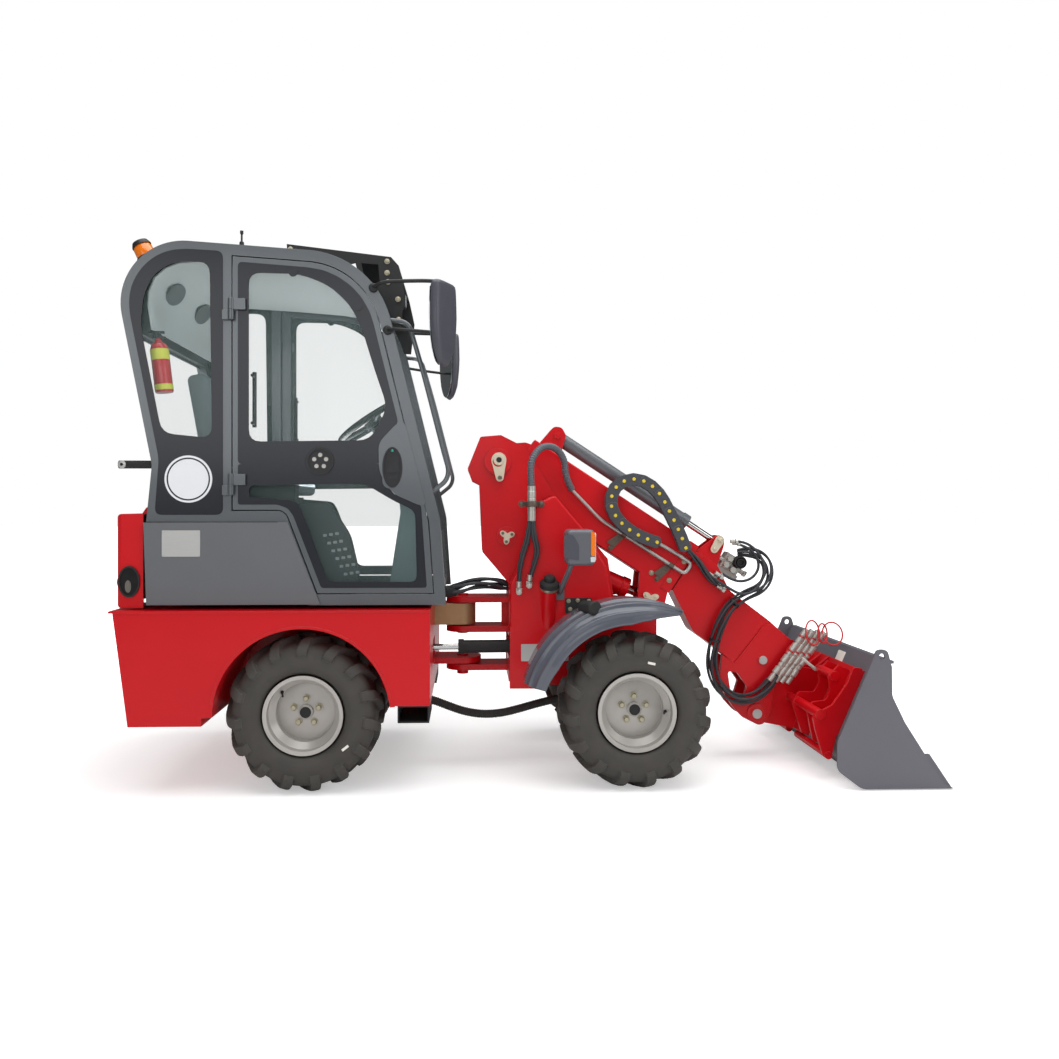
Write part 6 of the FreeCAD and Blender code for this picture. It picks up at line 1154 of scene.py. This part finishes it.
# ---------------------------------------------------------------- neck hoses
# Feed hoses leave the chain for the valve block, short loops stand over it, and five hoses in a tied
# bundle hang round the head to the couplers.
feed = route([on_boom(d, n, y) for d, y, n in ((0.982, -0.115, 0.142), (1.048, -0.112, 0.128),
                                               (1.110, -0.106, 0.100), (1.168, -0.098, 0.084),
                                               (1.226, -0.092, 0.092))])
loop = route([on_boom(d, n, y) for d, y, n in (
    (1.212, -0.018, 0.274), (1.262, -0.034, 0.318), (1.338, -0.058, 0.318), (1.383, -0.078, 0.258),
    (1.378, -0.094, 0.180), (1.328, -0.104, 0.112), (1.294, -0.108, 0.030), (1.300, -0.110, -0.065),
    (1.325, -0.110, -0.165), (1.375, -0.110, -0.260), (1.460, -0.110, -0.322), (1.560, -0.112, -0.328),
    (1.630, -0.116, -0.265), (1.652, -0.120, -0.178), (1.652, -0.122, -0.119))])
tilting = ("boom_inner_body", "tool_body", on_boom(1.400, -0.300, -0.110), on_boom(1.645, -0.300, -0.110))
for k in range(4):
    hose("feed_hose_%d" % (k + 1), strand(feed, 0.010, 0.6 + k * 1.57, 0.2), 0.0062, hose_rubber,
         "boom_inner_body")
for k in range(5):
    hose("neck_hose_%d" % (k + 1), strand(loop, 0.0215, k * 1.257, 0.6), 0.0060, hose_rubber, None, tilting,
         replaces=["neck_hoses"] if k == 0 else ())
outer_loop = route([(0.955, -0.086, 1.040), (1.014, -0.098, 1.044), (1.080, -0.112, 0.994),
                    (1.110, -0.122, 0.929), (1.098, -0.128, 0.858), (1.050, -0.132, 0.800),
                    (0.990, -0.132, 0.790), (0.931, -0.128, 0.823), (0.876, -0.118, 0.859)])
inner_loop = route([(0.973, -0.060, 1.032), (1.034, -0.072, 1.018), (1.082, -0.086, 0.972),
                    (1.092, -0.096, 0.915), (1.058, -0.104, 0.866), (1.002, -0.108, 0.848),
                    (0.947, -0.108, 0.862), (0.912, -0.104, 0.886)])
for name, line in (("outer_loop", outer_loop), ("inner_loop", inner_loop)):
    hose(name, line, 0.0065, hose_rubber, "boom_inner_body")
put("loop_ends", hose_end((0.955, -0.086, 1.040), (1, -0.1, 0.05), 0.0075, 0.8)
    + hose_end((0.973, -0.060, 1.032), (1, -0.15, -0.1), 0.0075, 0.8), fitting_steel, "boom_inner_body")
ties = []
for share in (0.40, 0.56):
    near = int(len(loop) * share)
    spot, ahead = loop[near], loop[near + 2] - loop[near]
    ties.append(lathe(oblong(0.0265, -0.005, 0.0285, 0.005), spot, ahead, 24))
put("neck_hose_ties", ties, satin_black, "boom_inner_body")

# ---------------------------------------------------------------- tool
# Bucket of wear plate in grey lacquer on the red quick hitch; steel couplers with red seals and tethered
# dust caps.
bucket_grey = grain(finish("bucket_grey_lacquer", "#6C6C73", Metallic=0.25, Roughness=0.45), 260, 0.07,
                    0.12, edge_mm=1.8, lift=0.25)
dress(bucket_grey, "bucket")
dress(fitting_steel, "couplers")
seal_red = grain(finish("coupler_seal_red", "#C4242A", Roughness=0.4), 6, 0.06, 0.05)
SLEEVE_SPREAD = 1.3
sleeves, seals = [], []
low, high = np.array(on_boom(1.652, -0.118, -0.126)), np.array(on_boom(1.668, 0.122, -0.126))
step = (np.array(on_boom(1.673, -0.109, -0.123)) - low) * SLEEVE_SPREAD
up = (high - low) / np.linalg.norm(high - low)
for k in range(4):
    foot = low + step * (k - 0.4)
    rings = [(0.0100, -0.040)]
    for start, end, r in ((-0.040, -0.004, 0.0130), (0.004, 0.040, 0.0155), (0.046, 0.062, 0.0135),
                          (0.068, 0.108, 0.0160), (0.114, 0.128, 0.0140), (0.136, 0.176, 0.0158),
                          (0.184, 0.212, 0.0140), (0.222, 0.262, 0.0155)):
        rings += [(0.0105, start), (r, start + 0.001), (r, end - 0.001), (0.0105, end)]
    sleeves.append(lathe(rings + [(0, 0.262)], foot, up, 24))
    for at in (0.128, 0.214):
        seals.append(lathe([(0.0105, at), (0.0160, at + 0.0005), (0.0160, at + 0.006),
                            (0.0105, at + 0.0065)], foot, up, 24))
put("coupler_sleeves", sleeves, fitting_steel, "tool_body")
put("coupler_seals", seals, seal_red, "tool_body")
tethers = []
for k, (wide, tall, swing) in enumerate(((0.034, 0.056, 0.3), (0.026, 0.044, 0.9), (0.046, 0.052, -0.3))):
    a = np.linspace(0, 2 * np.pi, 40, endpoint=False)
    centre = low + step * (k + 0.6) + up * 0.250 + np.array((0.020 * k, 0, 0.002 * k))
    ring = np.stack([centre[0] + wide * np.cos(a), centre[1] - 0.014 + 0.014 * np.sin(a + swing),
                     centre[2] + tall * np.sin(a)], -1)
    tethers.append(tube(np.vstack([ring, ring[:1]]), 0.0040, step=0.004, sides=10))
put("bucket_label", [flat(rounded(oblong(-0.038, -0.026, 0.038, 0.026), 0.003), 0.0004, 0.0012,
                          at=(1.4673, -0.1322, 0.4983), u=(0, -1, 0), v=(0.4, 0, 0.917))], label_paper,
    "tool_body")
put("cap_tethers", tethers, seal_red, "tool_body", sharp=60)

# ---------------------------------------------------------------- studio
# A white sweep under large soft lamps: one overhead, one to the front right, a long one along the near
# side and a small one inside the cab. The sweep glows more with distance, for the camera only.
floor_white = finish("studio_sweep", "#EDEDED", Roughness=0.9, Emission_Color=(1, 1, 1, 1),
                     Specular_IOR_Level=0.1)
paper = floor_white.node_tree
away = node(paper, "ShaderNodeVectorMath", {0: node(paper, "ShaderNodeTexCoord").outputs["Object"]},
            operation="LENGTH")
rise = node(paper, "ShaderNodeMapRange", {"Value": away.outputs["Value"], "From Min": 1.9, "From Max": 4.2,
                                          "To Min": 0.40, "To Max": 1.2})
glow = node(paper, "ShaderNodeMath", {0: node(paper, "ShaderNodeLightPath").outputs[0], 1: rise.outputs[0]},
            operation="MULTIPLY")
paper.links.new(glow.outputs[0], paper.nodes["Principled BSDF"].inputs["Emission Strength"])
bpy.ops.mesh.primitive_plane_add(size=90)
floor = bpy.context.object
floor.name = "studio_floor"
floor.data.materials.append(floor_white)


def area(name, place, size, power, turned):
    """A rectangular lamp of (width, height) in metres and a power in watts."""
    data = bpy.data.lights.new(name, "AREA")
    data.shape, data.size, data.size_y, data.energy = "RECTANGLE", size[0], size[1], power
    lamp = bpy.data.objects.new(name, data)
    lamp.location, lamp.rotation_euler = place, turned
    bpy.context.scene.collection.objects.link(lamp)
    return lamp


lamps = []
for name, place, size, power, aim in (("overhead", (0.2, -0.6, 5.2), (6.5, 4.5), 260, (0, 0, 0.6)),
                                      ("front_soft", (4.6, -3.6, 3.0), (3.0, 3.0), 70, (0.2, 0, 0.8)),
                                      ("near_side", (-2.2, -5.6, 2.6), (5.0, 2.2), 60, (-0.2, 0, 0.9))):
    way = np.array(aim) - place
    lamps.append(area(name, place, size, power, (math.atan2(math.hypot(way[0], way[1]), -way[2]), 0,
                                                 math.atan2(-way[0], way[1]))))
lamps.append(area("cab_fill", (-1.0, 0.05, 1.30), (0.5, 0.5), 7, (math.pi, 0, 0)))
lamps[-1].visible_camera = False
world = bpy.data.worlds.new("studio")
bpy.context.scene.world = world
world.use_nodes = True
sky = world.node_tree
back = sky.nodes["Background"]
seen = node(sky, "ShaderNodeLightPath")
dim = node(sky, "ShaderNodeMix", {0: seen.outputs["Is Glossy Ray"], 2: 0.42, 3: 0.10}, data_type="FLOAT")
level = node(sky, "ShaderNodeMix", {0: seen.outputs["Is Camera Ray"], 2: dim.outputs[0], 3: 1.0},
             data_type="FLOAT")
back.inputs["Color"].default_value = (1, 1, 1, 1)
sky.links.new(level.outputs[0], back.inputs["Strength"])

view = bpy.data.cameras.new("camera")
view.lens, view.sensor_width = 29.13, 36
view.shift_x, view.shift_y = 0.0279, -0.0231
camera = bpy.data.objects.new("camera", view)
camera.location = (-0.285, -4.130, 1.213)
camera.rotation_euler = (math.radians(90), 0, math.radians(-2))
bpy.context.scene.collection.objects.link(camera)
bpy.context.scene.camera = camera
bpy.context.scene.view_settings.view_transform = "Standard"
